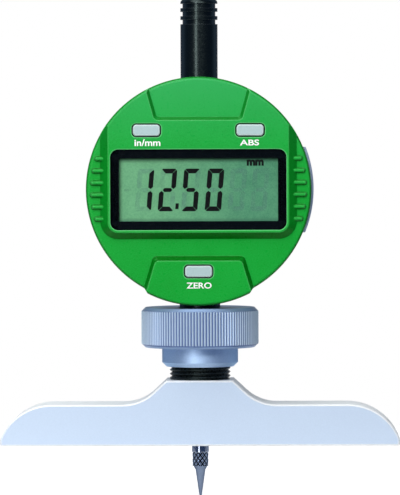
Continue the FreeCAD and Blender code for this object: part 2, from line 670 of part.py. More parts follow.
def make_rear_housing():
    wall = rod_y(2 * BODY_RADIUS, PARTING_Y, BACK_Y)
    wall = wall.makeFillet(RIM_ROUND, edges_at(wall, BACK_Y))
    inner = rod_y(2 * INNER_RADIUS, PARTING_Y - OVER, BACK_Y + OVER)
    seat = rod_y(2 * (BODY_RADIUS - COVER_LEDGE), COVER_Y, BACK_Y + OVER)
    ring = wall.cut(inner).cut(seat)
    within = rod_y(2 * INNER_RADIUS + ROOT, PARTING_Y, COVER_Y)
    low_boss = rod_z(STEM_SCREW + 2 * BOSS_WALL, SPOT_Z - OVER, LOW_BOSS_TOP)
    high_boss = rod_z(UPPER_BUSH + 2 * BOSS_WALL, HIGH_BOSS_BOTTOM, CAP_SEAT + OVER)
    inside = [low_boss, high_boss]
    for x, z in places(CLOSE_ANGLE) + places(BACK_ANGLE):
        inside.append(rod_y(COLUMN, PARTING_Y, COVER_Y, x, z))
    pad_x = RAIL_NEAR + RAIL_DEPTH / 2
    for low, high in ((-BODY_RADIUS, rail_ends()[0] - BODY_Z), (rail_ends()[1] - BODY_Z, BODY_RADIUS)):
        inside.append(box(-pad_x - RAIL_DEPTH / 2, -pad_x + RAIL_DEPTH / 2, -RAIL_WIDTH / 2, RAIL_WIDTH / 2,
                          BODY_Z + low, BODY_Z + high))
    bay_half = TRAY_HALF + SLIDING
    bay_y0 = DRAWER_Y0 - SLIDING
    bay_y1 = DRAWER_Y1 + SLIDING
    bay = box(DRAWER_OPEN_X, BODY_RADIUS, bay_y0 - BAY_FRONT_WALL, bay_y1 + BAY_BACK_WALL,
              DRAWER_Z - bay_half - BAY_WALL, DRAWER_Z + bay_half + BAY_WALL)
    inside.append(bay)
    fitted = [piece.common(within) for piece in inside]
    housing = ring.fuse(fitted)
    face_half = DRAWER_FACE_HALF + SLIDING
    cuts = [
        box(DRAWER_OPEN_X - OVER, STOP_X, bay_y0, bay_y1, DRAWER_Z - bay_half, DRAWER_Z + bay_half),
        box(STOP_X - SEAT, FAR, bay_y0, bay_y1, DRAWER_Z - face_half, DRAWER_Z + face_half),
        box(DRAWER_OPEN_X - OVER, STOP_X, bay_y0 - 2 * OVER, bay_y0 + OVER,
            DRAWER_Z - bay_half + BAY_LIP, DRAWER_Z + bay_half - BAY_LIP),
        rod_z(SHOULDER_DIAMETER + 4 * SEAT, SPOT_Z - 2 * OVER, SPOT_Z),
        rod_z(STEM_SCREW + 2 * FIT, SPOT_Z - OVER, SPOT_Z + STEM_SCREW_LENGTH),
        rod_z(STEM_BORE, SPOT_Z, LOW_BOSS_TOP + OVER),
        rod_z(UPPER_BUSH + 2 * FIT, HIGH_BOSS_BOTTOM - OVER, CAP_SEAT + 2 * OVER),
        rod_z(CAP_DIAMETER + 4 * SEAT, CAP_SEAT, CAP_SEAT + 2 * OVER),
    ]
    for x, z in places(CLOSE_ANGLE):
        cuts.append(rod_y(SCREW + 2 * FIT, PARTING_Y - OVER, COVER_Y + OVER, x, z))
        cuts.append(rod_y(SCREW_HEAD + 2 * SEAT, COVER_Y - HEAD_DEPTH, COVER_Y + OVER, x, z))
    for x, z in places(BACK_ANGLE):
        cuts.append(rod_y(SCREW + 2 * FIT, BACK_Y - BACK_SCREW_LENGTH - HOLE_END, COVER_Y + OVER, x, z))
    return housing.cut(cuts).removeSplitter()


def rail_ends():
    slot_low = CARRIAGE_Z + CARRIAGE_LENGTH / 2 - PIN_DIAMETER
    slot_high = CARRIAGE_Z + CARRIAGE_LENGTH / 2 + SPINDLE_TRAVEL + PIN_DIAMETER
    return slot_low - RAIL_END, slot_high + RAIL_END


def make_back_cover():
    cover = rod_y(2 * (BODY_RADIUS - COVER_LEDGE - SEAT), COVER_Y, BACK_Y)
    cover = cover.makeChamfer(EDGE_BREAK, edges_at(cover, BACK_Y))
    for x, z in places(BACK_ANGLE):
        cover = cover.cut(back_screw(x, z, 2 * SEAT))
    return cover


def back_screw(x, z, ease):
    """A countersunk screw, flush with the back. ease widens it into its own hole."""
    low_y = BACK_Y - SCREW_HEAD_HEIGHT + SCREW_RIM
    high_y = BACK_Y - SCREW_RIM
    head = Part.makeCone((SCREW + ease) / 2, (SCREW_HEAD + ease) / 2, high_y - low_y,
                         V(x, low_y, BODY_Z + z), V(0, 1, 0))
    rim = rod_y(SCREW_HEAD + ease, high_y, BACK_Y, x, z)
    shank = rod_y(SCREW + ease, BACK_Y - BACK_SCREW_LENGTH, BACK_Y - ROOT, x, z)
    return head.fuse([rim, shank]).removeSplitter()


def cross_slot(x, y, z, size, depth):
    """The cross recess of a screw head that faces the back."""
    arm = size / 4
    flat = box(x - size / 2, x + size / 2, y - depth, y + OVER, BODY_Z + z - arm / 2, BODY_Z + z + arm / 2)
    tall = box(x - arm / 2, x + arm / 2, y - depth, y + OVER, BODY_Z + z - size / 2, BODY_Z + z + size / 2)
    return flat.fuse(tall)


def make_back_screws():
    screws = []
    for x, z in places(BACK_ANGLE):
        screws.append(back_screw(x, z, 0).cut(cross_slot(x, BACK_Y, z, SCREW_HEAD / 2, SCREW_RECESS)))
    return Part.makeCompound(screws)


def make_housing_screws():
    screws = []
    seat = COVER_Y - HEAD_DEPTH
    for x, z in places(CLOSE_ANGLE):
        shank = rod_y(SCREW, PARTING_Y - CLOSE_SCREW_BITE, seat, x, z)
        head = rod_y(SCREW_HEAD, seat, seat + SCREW_HEAD_HEIGHT, x, z)
        slot = cross_slot(x, seat + SCREW_HEAD_HEIGHT, z, SCREW_HEAD / 2, SCREW_RECESS)
        screws.append(head.fuse(shank).cut(slot))
    return Part.makeCompound(screws)


# Display and electronics

def make_window_lens():
    outline = rectangle(WINDOW_WIDTH - 2 * SEAT, WINDOW_HEIGHT - 2 * SEAT, WINDOW_CORNER - SEAT)
    return slab(outline, LENS_Y, FRAME_Y)


def make_display_frame():
    pocket_y = PLATEAU_Y + BODY_WALL
    neck = slab(rectangle(WINDOW_WIDTH - 2 * SEAT, WINDOW_HEIGHT - 2 * SEAT, WINDOW_CORNER - SEAT),
                FRAME_Y, pocket_y + ROOT)
    wide = WINDOW_WIDTH + 2 * FRAME_FLANGE
    high = WINDOW_HEIGHT + 2 * FRAME_FLANGE
    body = slab(rectangle(wide, high, FRAME_CORNER), pocket_y, BOARD_FRONT_Y)
    frame = neck.fuse(body).removeSplitter()
    view = slab(rectangle(VIEW_WIDTH, VIEW_HEIGHT, VIEW_CORNER), FRAME_Y - OVER, LCD_Y + OVER)
    pocket = rectangle(VIEW_WIDTH + 2 * LCD_MARGIN, VIEW_HEIGHT + 2 * LCD_MARGIN, VIEW_CORNER)
    room = slab(pocket, LCD_Y, BOARD_FRONT_Y + OVER)
    return frame.cut([view, room])


def make_lcd_glass():
    margin = LCD_MARGIN - SEAT
    outline = rectangle(VIEW_WIDTH + 2 * margin, VIEW_HEIGHT + 2 * margin, 0.2)
    return slab(outline, LCD_Y, LCD_Y + LCD_THICKNESS)


def make_zebra_strips():
    z = VIEW_HEIGHT / 2 + LCD_MARGIN - ZEBRA_MARGIN - ZEBRA_THICKNESS / 2 + 0.4
    strips = []
    for sign in (1, -1):
        outline = rectangle(ZEBRA_LENGTH, ZEBRA_THICKNESS, 0.2, 0, sign * z)
        strips.append(slab(outline, LCD_Y + LCD_THICKNESS, BOARD_FRONT_Y))
    return Part.makeCompound(strips)


def make_circuit_board():
    board = rod_y(2 * BOARD_RADIUS, BOARD_FRONT_Y, BOARD_BACK_Y)
    cuts = []
    for x, z in BOARD_SCREW_PLACES:
        cuts.append(rod_y(BOARD_SCREW + 2 * SEAT, BOARD_FRONT_Y - OVER, BOARD_BACK_Y + OVER, x, z))
    for x, z in places(CLOSE_ANGLE):
        cuts.append(rod_y(COLUMN + 4 * SEAT, BOARD_FRONT_Y - OVER, BOARD_BACK_Y + OVER, x, z))
    return board.cut(cuts)


def make_board_screws():
    screws = []
    for x, z in BOARD_SCREW_PLACES:
        top = BOARD_BACK_Y + BOARD_SCREW_LIFT
        head = rod_y(BOARD_SCREW_HEAD, BOARD_BACK_Y, top, x, z)
        shank = rod_y(BOARD_SCREW, BOARD_FRONT_Y - BOARD_SCREW_BITE, BOARD_BACK_Y, x, z)
        slot = cross_slot(x, top, z, BOARD_SCREW_HEAD / 2, BOARD_SCREW_RECESS)
        screws.append(head.fuse(shank).cut(slot))
    return Part.makeCompound(screws)


def make_processor_chip():
    outline = rectangle(CHIP_SIZE, CHIP_SIZE, CHIP_CORNER, CHIP_X, CHIP_Z)
    return slab(outline, BOARD_BACK_Y, BOARD_BACK_Y + CHIP_HEIGHT)


def make_dome_switches():
    domes = []
    edge = DOME_DIAMETER / 2
    radius = (edge ** 2 + DOME_HEIGHT ** 2) / (2 * DOME_HEIGHT)
    for x, z in BUTTON_PLACES.values():
        ball = Part.makeSphere(radius, V(x, BOARD_FRONT_Y - DOME_HEIGHT + radius, BODY_Z + z))
        domes.append(ball.common(rod_y(3 * radius, BOARD_FRONT_Y - radius, BOARD_FRONT_Y, x, z)))
    return Part.makeCompound(domes)


def bent_sheet(points, z0, z1):
    """A sheet-metal strip: its bends as (x, y) points, its thickness laid to the left of the run."""
    left = []
    for i, (x, y) in enumerate(points):
        before = points[max(i - 1, 0)]
        after = points[min(i + 1, len(points) - 1)]
        first = V(x - before[0], y - before[1], 0) if i else V(after[0] - x, after[1] - y, 0)
        second = V(after[0] - x, after[1] - y, 0) if i < len(points) - 1 else first
        first.normalize()
        second.normalize()
        along = (first + second).normalize()
        normal = V(-along.y, along.x, 0)
        stretch = CONTACT_SHEET / max(along.dot(first), 0.3)
        left.append(V(x, y, 0) + normal * stretch)
    ring = [V(x, y, 0) for x, y in points] + list(reversed(left))
    flat = Part.Face(Part.makePolygon(ring + [ring[0]]))
    flat.translate(V(0, 0, z0))
    return flat.extrude(V(0, 0, z1 - z0))


def make_negative_contact():
    touch = CELL_Y0 - SEAT - CONTACT_SHEET
    x = CELL_X
    run = [(x - 2 * LEAF_ARM - LEAF_PAD, BOARD_BACK_Y), (x - LEAF_ARM - LEAF_PAD, BOARD_BACK_Y),
           (x - LEAF_PAD, touch), (x + LEAF_PAD, touch), (x + LEAF_PAD + LEAF_END, touch - LEAF_LIFT)]
    low = DRAWER_Z - CONTACT_WIDTH / 2
    return bent_sheet(run, low, low + CONTACT_WIDTH)


def make_positive_contact():
    x = CELL_X - CELL_DIAMETER / 2 - SEAT - CONTACT_SHEET
    low = DRAWER_Z - CONTACT_WIDTH / 2
    leaf = box(x, x + CONTACT_SHEET, BOARD_BACK_Y, CELL_Y1, low, low + CONTACT_WIDTH)
    foot_low = low - CONTACT_WIDTH
    rise = box(x, x + CONTACT_SHEET, BOARD_BACK_Y, BOARD_BACK_Y + CONTACT_RISE, foot_low, low)
    foot = box(x, x + CONTACT_FOOT, BOARD_BACK_Y, BOARD_BACK_Y + CONTACT_SHEET, foot_low, low)
    return fuse([leaf, rise, foot])


def make_button(name):
    x, z = BUTTON_PLACES[name]
    face_y, wall_y = button_level(name)
    top_y = face_y - BUTTON_PROUD
    cap = slab(rectangle(BUTTON_WIDTH, BUTTON_HEIGHT, BUTTON_CORNER, x, z), top_y, wall_y + SEAT + 0.2)
    cap = cap.makeChamfer(BUTTON_BEVEL * 0.6, edges_at(cap, top_y))
    flange_y = wall_y + SEAT / 2
    room = 2 * FLANGE_RIM
    flange = slab(rectangle(BUTTON_WIDTH + room, BUTTON_HEIGHT + room, BUTTON_CORNER, x, z),
                  flange_y, flange_y + FLANGE_THICKNESS)
    plunger_end = BOARD_FRONT_Y - DOME_HEIGHT - BUTTON_TRAVEL - SEAT
    plunger = slab(rectangle(PLUNGER_WIDTH, PLUNGER_HEIGHT, 0.3, x, z), flange_y, plunger_end)
    return fuse([cap, flange, plunger])


# Battery drawer

def make_battery_drawer():
    tray = box(DRAWER_OPEN_X, STOP_X + ROOT, DRAWER_Y0, DRAWER_Y1,
               DRAWER_Z - TRAY_HALF, DRAWER_Z + TRAY_HALF)
    face = box(STOP_X, FAR, DRAWER_Y0, DRAWER_Y1, DRAWER_Z - DRAWER_FACE_HALF, DRAWER_Z + DRAWER_FACE_HALF)
    face = face.common(rod_y(2 * DRAWER_OUTER, DRAWER_Y0, DRAWER_Y1))
    rim = [e for e in face.Edges if e.Length > DRAWER_FACE_HALF and e.BoundBox.XMax > DRAWER_OUTER - 0.1]
    face = face.makeFillet(DRAWER_EDGE, rim)
    drawer = tray.fuse(face)
    floor_y = DRAWER_Y1 - DRAWER_FLOOR
    hollow = Part.makeCylinder(CELL_DIAMETER / 2 + SLIDING, floor_y - DRAWER_Y0 + OVER,
                               V(CELL_X, DRAWER_Y0 - OVER, DRAWER_Z), V(0, 1, 0))
    mouth = box(DRAWER_OPEN_X - OVER, CELL_X, DRAWER_Y0 - OVER, floor_y,
                DRAWER_Z - DRAWER_MOUTH / 2, DRAWER_Z + DRAWER_MOUTH / 2)
    lowered = box(DRAWER_OPEN_X - OVER, STOP_X, DRAWER_Y0 - OVER, CELL_Y0 + CELL_PROUD,
                  DRAWER_Z - FAR, DRAWER_Z + FAR)
    return drawer.cut([hollow, mouth, lowered]).removeSplitter()


def make_coin_cell():
    cell = Part.makeCylinder(CELL_DIAMETER / 2, CELL_THICKNESS, V(CELL_X, CELL_Y0, DRAWER_Z), V(0, 1, 0))
    return cell.makeFillet(CELL_ROUND, edges_at(cell, CELL_Y0) + edges_at(cell, CELL_Y1))


# Measuring train

def make_spindle():
    rod = rod_z(SPINDLE_DIAMETER, -SPINDLE_DROP, SPINDLE_TOP)
    rod = rod.makeChamfer(EDGE_BREAK, [e for e in rod.Edges if e.BoundBox.ZMin > SPINDLE_TOP - 0.01])
    hole_top = POINT_THREAD_LENGTH - SPINDLE_DROP + HOLE_END
    return rod.cut(rod_z(POINT_THREAD + 2 * FIT, -SPINDLE_DROP - OVER, hole_top))


def diamond_knurl(low, high, crest, root, rows, diamonds):
    """A closed knurled cylinder: four-sided points between two families of crossed grooves."""
    around = 2 * diamonds
    layers = 2 * rows

    def corner(i, m):
        radius = crest if (i + m) % 2 == 0 else root
        turn = math.pi * i / diamonds
        return V(radius * math.cos(turn), radius * math.sin(turn), low + (high - low) * m / layers)

    faces = []
    for m in range(layers):
        for i in range(around):
            a, b = corner(i, m), corner(i + 1, m)
            c, d = corner(i + 1, m + 1), corner(i, m + 1)
            if (i + m) % 2 == 0:
                triangles = ((a, b, d), (b, c, d))
            else:
                triangles = ((a, b, c), (a, c, d))
            for triangle in triangles:
                faces.append(Part.Face(Part.makePolygon(list(triangle) + [triangle[0]])))
    for m in (0, layers):
        end = [corner(i, m) for i in range(around)]
        faces.append(Part.Face(Part.makePolygon(end + [end[0]])))
    return Part.Solid(Part.Shell(faces))


def make_contact_point():
    top = -SPINDLE_DROP
    knurl_end = top - KNURL_LENGTH
    taper_end = knurl_end - POINT_TAPER_LENGTH
    cone_end = taper_end - POINT_CONE_LENGTH
    root = KNURL_DIAMETER / 2 - POINT_KNURL_DEPTH
    grip = diamond_knurl(knurl_end, top, KNURL_DIAMETER / 2, root, KNURL_ROWS, KNURL_DIAMONDS)
    shank = rod_z(POINT_THREAD, top - ROOT, top + POINT_THREAD_LENGTH)
    cone_radius = POINT_CONE_DIAMETER / 2
    tip = POINT_TIP_RADIUS
    needle = lathe([
        (0, knurl_end + ROOT), (root, knurl_end + ROOT), (root, knurl_end),
        (cone_radius, taper_end), (tip, cone_end), (0, cone_end),
    ])
    ball = Part.makeSphere(tip, V(0, 0, cone_end))
    return grip.fuse([shank, needle, ball])


def make_spindle_carriage():
    front = STRIP_Y + STRIP_THICKNESS
    block = box(-CARRIAGE_HALF, CARRIAGE_HALF, front, CARRIAGE_BACK, CARRIAGE_Z, CARRIAGE_TOP)
    tall = [e for e in block.Edges if e.BoundBox.ZLength > CARRIAGE_LENGTH - 0.01]
    block = block.makeFillet(CARRIAGE_ROUND, [e for e in tall if e.BoundBox.YMin > 0])
    middle = CARRIAGE_Z + CARRIAGE_LENGTH / 2
    ear = CARRIAGE_BACK - (CARRIAGE_BACK - SPINDLE_RADIUS) / 2
    pin_end = -CARRIAGE_HALF + PIN_BITE
    return block.cut([
        rod_z(SPINDLE_DIAMETER + 2 * FIT, CARRIAGE_Z - OVER, CARRIAGE_TOP + OVER),
        box(-CARRIAGE_SLIT / 2, CARRIAGE_SLIT / 2, 0, FAR, CARRIAGE_Z - OVER, CARRIAGE_TOP + OVER),
        rod_x(PIN_DIAMETER + 2 * FIT, -CARRIAGE_HALF - OVER, pin_end + HOLE_END, 0, middle),
        rod_x(carriage_screw_size() + 2 * FIT, pin_end - HOLE_END, CARRIAGE_HALF + OVER, ear, middle),
    ])


def carriage_screw_size():
    return (CARRIAGE_BACK - SPINDLE_RADIUS) * 0.7


def make_carriage_screw():
    middle = CARRIAGE_Z + CARRIAGE_LENGTH / 2
    ear = CARRIAGE_BACK - (CARRIAGE_BACK - SPINDLE_RADIUS) / 2
    size = carriage_screw_size()
    shank = rod_x(size, -CARRIAGE_HALF + PIN_BITE, CARRIAGE_HALF, ear, middle)
    head = rod_x(size * 1.9, CARRIAGE_HALF, CARRIAGE_HALF + 0.7, ear, middle)
    return shank.fuse(head)


def make_scale_strip():
    middle = CARRIAGE_Z + CARRIAGE_LENGTH / 2
    return box(-STRIP_HALF, STRIP_HALF, STRIP_Y, STRIP_Y + STRIP_THICKNESS,
               middle - STRIP_LENGTH / 2, middle + STRIP_LENGTH / 2)


def make_guide_pin():
    middle = CARRIAGE_Z + CARRIAGE_LENGTH / 2
    return rod_x(PIN_DIAMETER, -CARRIAGE_HALF - PIN_REACH, -CARRIAGE_HALF + PIN_BITE, 0, middle)


def make_guide_rail():
    low, high = rail_ends()
    rail = box(-RAIL_NEAR - RAIL_DEPTH, -RAIL_NEAR, -RAIL_WIDTH / 2, RAIL_WIDTH / 2, low, high)
    slot_half = PIN_DIAMETER / 2 + RUNNING
    slot = box(-RAIL_NEAR - RAIL_DEPTH - OVER, -RAIL_NEAR + OVER, -slot_half, slot_half,
               low + RAIL_END, high - RAIL_END)
    return rail.cut(slot)


def make_return_spring():
    """The coil spring. Its wire has many flat sides, so that its mesh follows it closely."""
    reach = SPRING_WIRE / 2 / math.cos(math.pi / SPRING_SIDES)
    low = CARRIAGE_TOP + reach
    high = HIGH_BOSS_BOTTOM - reach
    pitch = (high - low) / SPRING_TURNS
    helix = Part.makeHelix(pitch, high - low, SPRING_RADIUS)
    helix.translate(V(0, 0, low))
    along = V(0, 2 * math.pi * SPRING_RADIUS, pitch).normalize()
    outward = V(1, 0, 0)
    across = along.cross(outward)
    start = V(SPRING_RADIUS, 0, low)
    corners = []
    for i in range(SPRING_SIDES):
        turn = 2 * math.pi * i / SPRING_SIDES
        corners.append(start + outward * (reach * math.cos(turn)) + across * (reach * math.sin(turn)))
    section = Part.makePolygon(corners + [corners[0]])
    return Part.Wire(helix.Edges).makePipeShell([section], True, True)


def make_spindle_cap():
    top = CAP_SEAT + CAP_LENGTH
    radius = CAP_DIAMETER / 2
    cap = rod_z(CAP_DIAMETER, CAP_SEAT, top)
    cap = cap.makeFillet(CAP_ROUND, [e for e in cap.Edges if e.BoundBox.ZMin > top - 0.01])
    cuts = [rod_z(UPPER_BUSH + 2 * RUNNING, CAP_SEAT - 1, top - CAP_TOP)]
    z = top - CAP_FIRST_GROOVE
    for i in range(CAP_GROOVES):
        groove = rod_z(2 * CAP_DIAMETER, z - CAP_GROOVE_WIDTH, z)
        cuts.append(groove.cut(rod_z(2 * (radius - CAP_GROOVE_DEPTH), z - CAP_GROOVE_WIDTH, z)))
        z -= CAP_GROOVE_WIDTH + CAP_LIP_WIDTH
    return cap.cut(cuts)


NODES = {
    "base": make_base,
    "collet": make_collet,
    "clamp_ring": make_clamp_ring,
    "clamp_nut": make_clamp_nut,
    "front_bezel": make_front_bezel,
    "rear_housing": make_rear_housing,
    "back_cover": make_back_cover,
    "back_screws": make_back_screws,
    "housing_screws": make_housing_screws,
    "stem": make_stem,
    "lower_bushing": make_lower_bushing,
    "upper_bushing": make_upper_bushing,
    "window_lens": make_window_lens,
    "display_frame": make_display_frame,
    "lcd_glass": make_lcd_glass,
    "zebra_strips": make_zebra_strips,
    "circuit_board": make_circuit_board,
    "board_screws": make_board_screws,
    "processor_chip": make_processor_chip,
    "dome_switches": make_dome_switches,
    "battery_contact_negative": make_negative_contact,
    "battery_contact_positive": make_positive_contact,
    "battery_drawer": make_battery_drawer,
    "coin_cell": make_coin_cell,
    "spindle": make_spindle,
    "contact_point": make_contact_point,
    "spindle_carriage": make_spindle_carriage,
    "carriage_screw": make_carriage_screw,
    "scale_strip": make_scale_strip,
    "guide_pin": make_guide_pin,
    "guide_rail": make_guide_rail,
    "return_spring": make_return_spring,
    "spindle_cap": make_spindle_cap,
}
for button in BUTTON_PLACES:
    NODES[button] = lambda name=button: make_button(name)

os.makedirs("parts", exist_ok=True)
for node, make in NODES.items():
    shape = make()
    shape.exportStep(os.path.join("parts", node + ".step"))
    print(node, shape.ShapeType, len(shape.Solids), shape.isValid(), round(shape.Volume, 2))
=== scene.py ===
import json
import math

import bmesh
import bpy
from mathutils import Matrix, Vector


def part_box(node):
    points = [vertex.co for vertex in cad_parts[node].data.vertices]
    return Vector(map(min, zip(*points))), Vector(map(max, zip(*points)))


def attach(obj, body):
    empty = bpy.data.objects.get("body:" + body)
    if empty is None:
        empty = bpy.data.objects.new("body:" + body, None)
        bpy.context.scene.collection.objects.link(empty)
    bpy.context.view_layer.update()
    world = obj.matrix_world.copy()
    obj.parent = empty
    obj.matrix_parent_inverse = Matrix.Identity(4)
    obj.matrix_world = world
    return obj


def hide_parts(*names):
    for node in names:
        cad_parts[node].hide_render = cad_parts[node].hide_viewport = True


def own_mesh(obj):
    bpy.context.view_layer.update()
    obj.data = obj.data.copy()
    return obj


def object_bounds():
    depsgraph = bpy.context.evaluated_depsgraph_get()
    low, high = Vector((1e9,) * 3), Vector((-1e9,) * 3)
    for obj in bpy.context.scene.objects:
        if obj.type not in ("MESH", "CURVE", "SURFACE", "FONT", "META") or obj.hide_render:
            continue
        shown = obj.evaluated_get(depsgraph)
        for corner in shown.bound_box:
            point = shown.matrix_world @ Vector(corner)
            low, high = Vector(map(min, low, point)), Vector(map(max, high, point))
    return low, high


# Digital depth gauge: looks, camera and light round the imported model.
# Metres. X is to the right of the display, -Y towards the viewer, Z up along the spindle.

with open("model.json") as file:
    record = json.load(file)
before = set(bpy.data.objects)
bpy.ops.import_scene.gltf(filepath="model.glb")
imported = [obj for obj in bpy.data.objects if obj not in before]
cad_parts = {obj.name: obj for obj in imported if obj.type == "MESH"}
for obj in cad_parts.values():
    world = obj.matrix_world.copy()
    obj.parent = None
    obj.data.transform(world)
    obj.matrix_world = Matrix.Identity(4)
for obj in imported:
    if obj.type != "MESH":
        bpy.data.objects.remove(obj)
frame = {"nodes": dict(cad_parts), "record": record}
CAD_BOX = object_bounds()
MM = 0.001

# Camera: a long lens a little to the right of the spindle axis and above the middle of the body
CAMERA_PLACE = (25 * MM, -1200 * MM, 80 * MM)
CAMERA_AIM = (0.07 * MM, 0.0, 50.2 * MM)
CAMERA_ROLL = math.radians(-0.2)
CAMERA_NEAR = 0.05
CAMERA_FAR = 50
SENSOR = 36.0
LENS = 341.96

# Levels of the indicator and the nut, read from the frame
HOUSING_LOW, HOUSING_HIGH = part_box("rear_housing")
CENTRE_Z = (HOUSING_LOW.z + HOUSING_HIGH.z) / 2
FACE_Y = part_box("front_bezel")[0].y
BUTTON_PROUD = 0.35 * MM
CHIN_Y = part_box("button_zero")[0].y + BUTTON_PROUD
LCD_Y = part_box("lcd_glass")[0].y
NUT_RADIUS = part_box("clamp_nut")[1].x
NUT_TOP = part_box("clamp_nut")[1].z

# Height at which the nut's smooth collar ends and its knurled ring starts
COLLAR_TOP = 24.6 * MM

# The part of the display that the black frame leaves open
VIEW_HALF = 20.1 * MM
VIEW_HIGH = 73.2 * MM
VIEW_LOW = 57.2 * MM

# Seven-segment digits
DIGIT_HEIGHT = 10.75 * MM
DIGIT_WIDTH = 4.15 * MM
STROKE = 1.19 * MM
MIDDLE_STROKE = 1.0 * MM
SEGMENT_GAP = 0.07 * MM
POINT_GAP = 0.24 * MM
POINT_RISE = 0.42 * MM
CORNER_CUT = 0.5 * MM
SLANT = math.tan(math.radians(4.9))
DIGIT_MIDDLE_Z = 65.07 * MM
DIGIT_PLACES = [-13.65, -7.84, -1.95, 4.04, 9.85, 15.5]
READING = ["bc", "abged", "afgcd", "abcdef", "", ""]

# Decimal point and sign: left, right, top and bottom in millimetres,
# about a place on the middle line of the digits
DECIMAL_POINT = (-0.4, 0.42, -3.38, -4.84)
DECIMAL_PLACE = -5.1 * MM
MINUS_SIGN = (-1.0, 1.0, 0.3, -0.3)
MINUS_PLACE = -17.9 * MM

# Print: how far it stands out, and its texts with width, height, x and z in millimetres
PRINT_DEPTH = 0.03 * MM
PRINT_BOLDNESS = 0.022
UNIT_BOLDNESS = 0.055
UNIT_TEXT = ("display_unit", "mm", 4.3, 1.55, 14.35, 71.9)
FACE_TEXTS = [
    ("label_unit", "in/mm", 6.55, 1.75, -12.8, 77.05),
    ("label_abs", "ABS", 4.85, 1.5, 12.95, 77.0),
]
CHIN_TEXT = ("label_zero", "ZERO", 6.35, 1.55, 0.1, 40.95)

# Threaded post: its thread, plug, bores and slotted nose
THREAD_PITCH = 1.0 * MM
THREAD_DEPTH = 0.5 * MM
THREAD_FADE = 0.4 * MM
THREAD_LENGTH = 9.9 * MM
THREAD_STEPS = 160
PLUG_RADIUS = 5.98 * MM
POST_BORE = 4.05 * MM
POST_HOLE = 3.25 * MM
BORE_FLOOR = 11.1 * MM
NOSE_LOW = 6.3 * MM
NOSE_HIGH = 5.35 * MM
SLOT_WIDTH = 0.8 * MM
SLOT_REACH = 20 * MM
SLOT_DEPTH = 2.0 * MM
SLOT_TURNS = (45, 135)

# Return spring
WIRE = 0.25 * MM
COILS = 8
COIL_STEPS = 40
WIRE_SIDES = 12

# Contact point: its shank, the diamond knurl of its grip, and the tip
SHANK_RADIUS = 1.25 * MM
GRIP_RADIUS = 2.04 * MM
GRIP_HIGH = -2.0 * MM
GRIP_LOW = -5.6 * MM
GRIP_STEPS = 60
KNURL_DEPTH = 0.26 * MM
KNURL_AROUND = 10
KNURL_ROWS = 2.4
KNURL_CREST = 0.45
TAPER_LENGTH = 1.0 * MM
TIP_RADIUS = 0.33 * MM
TIP_TURNS = (0.0, 0.4, 0.8, 1.2)

# Floor: left, right, near and far edge, its glow,
# and how far the object's shade reaches in its reflection
FLOOR_EDGES = (-0.14, 0.14, -0.03, 0.28)
FLOOR_GLOW = 0.6
FLOOR_SHADE = 0.06

# Room: its plain light, and the tones that metal mirrors, from the viewer's side to the far side
ROOM_LIGHT = 0.12
ROOM_NEAR = (0.06, 0.10, 0.19, 1)
ROOM_TONES = ((0.45, (0.03, 0.07, 0.17)), (0.70, (0.20, 0.30, 0.46)), (0.94, (0.04, 0.06, 0.11)))
ROOM_WHITE = 0.985

# Lamps: name, place, width and height, power, and whether smooth surfaces mirror them
LAMPS = [
    ("strip", (-0.32, -1.00, 0.16), (0.17, 0.80), 3.0, True),
    ("front", (0.04, -0.85, 0.41), (0.90, 0.20), 3.4, True),
    ("key", (-0.10, -0.20, 0.36), (0.25, 0.25), 0.75, True),
    ("side", (-0.75, -0.55, 0.35), (0.50, 0.50), 0.6, False),
    ("fill", (0.78, -0.76, 0.12), (0.70, 0.80), 0.35, False),
    ("top", (-0.10, 0.05, 0.90), (0.50, 0.50), 3.0, False),
]

# What bare steel gives back at a slant
SLANT_TINT = (0.15, 0.18, 0.25, 1.0)


def linear(red, green, blue):
    """A linear colour from 0-255 screen values."""
    parts = []
    for value in (red, green, blue):
        share = value / 255
        parts.append(share / 12.92 if share <= 0.04045 else ((share + 0.055) / 1.055) ** 2.4)
    return (*parts, 1.0)


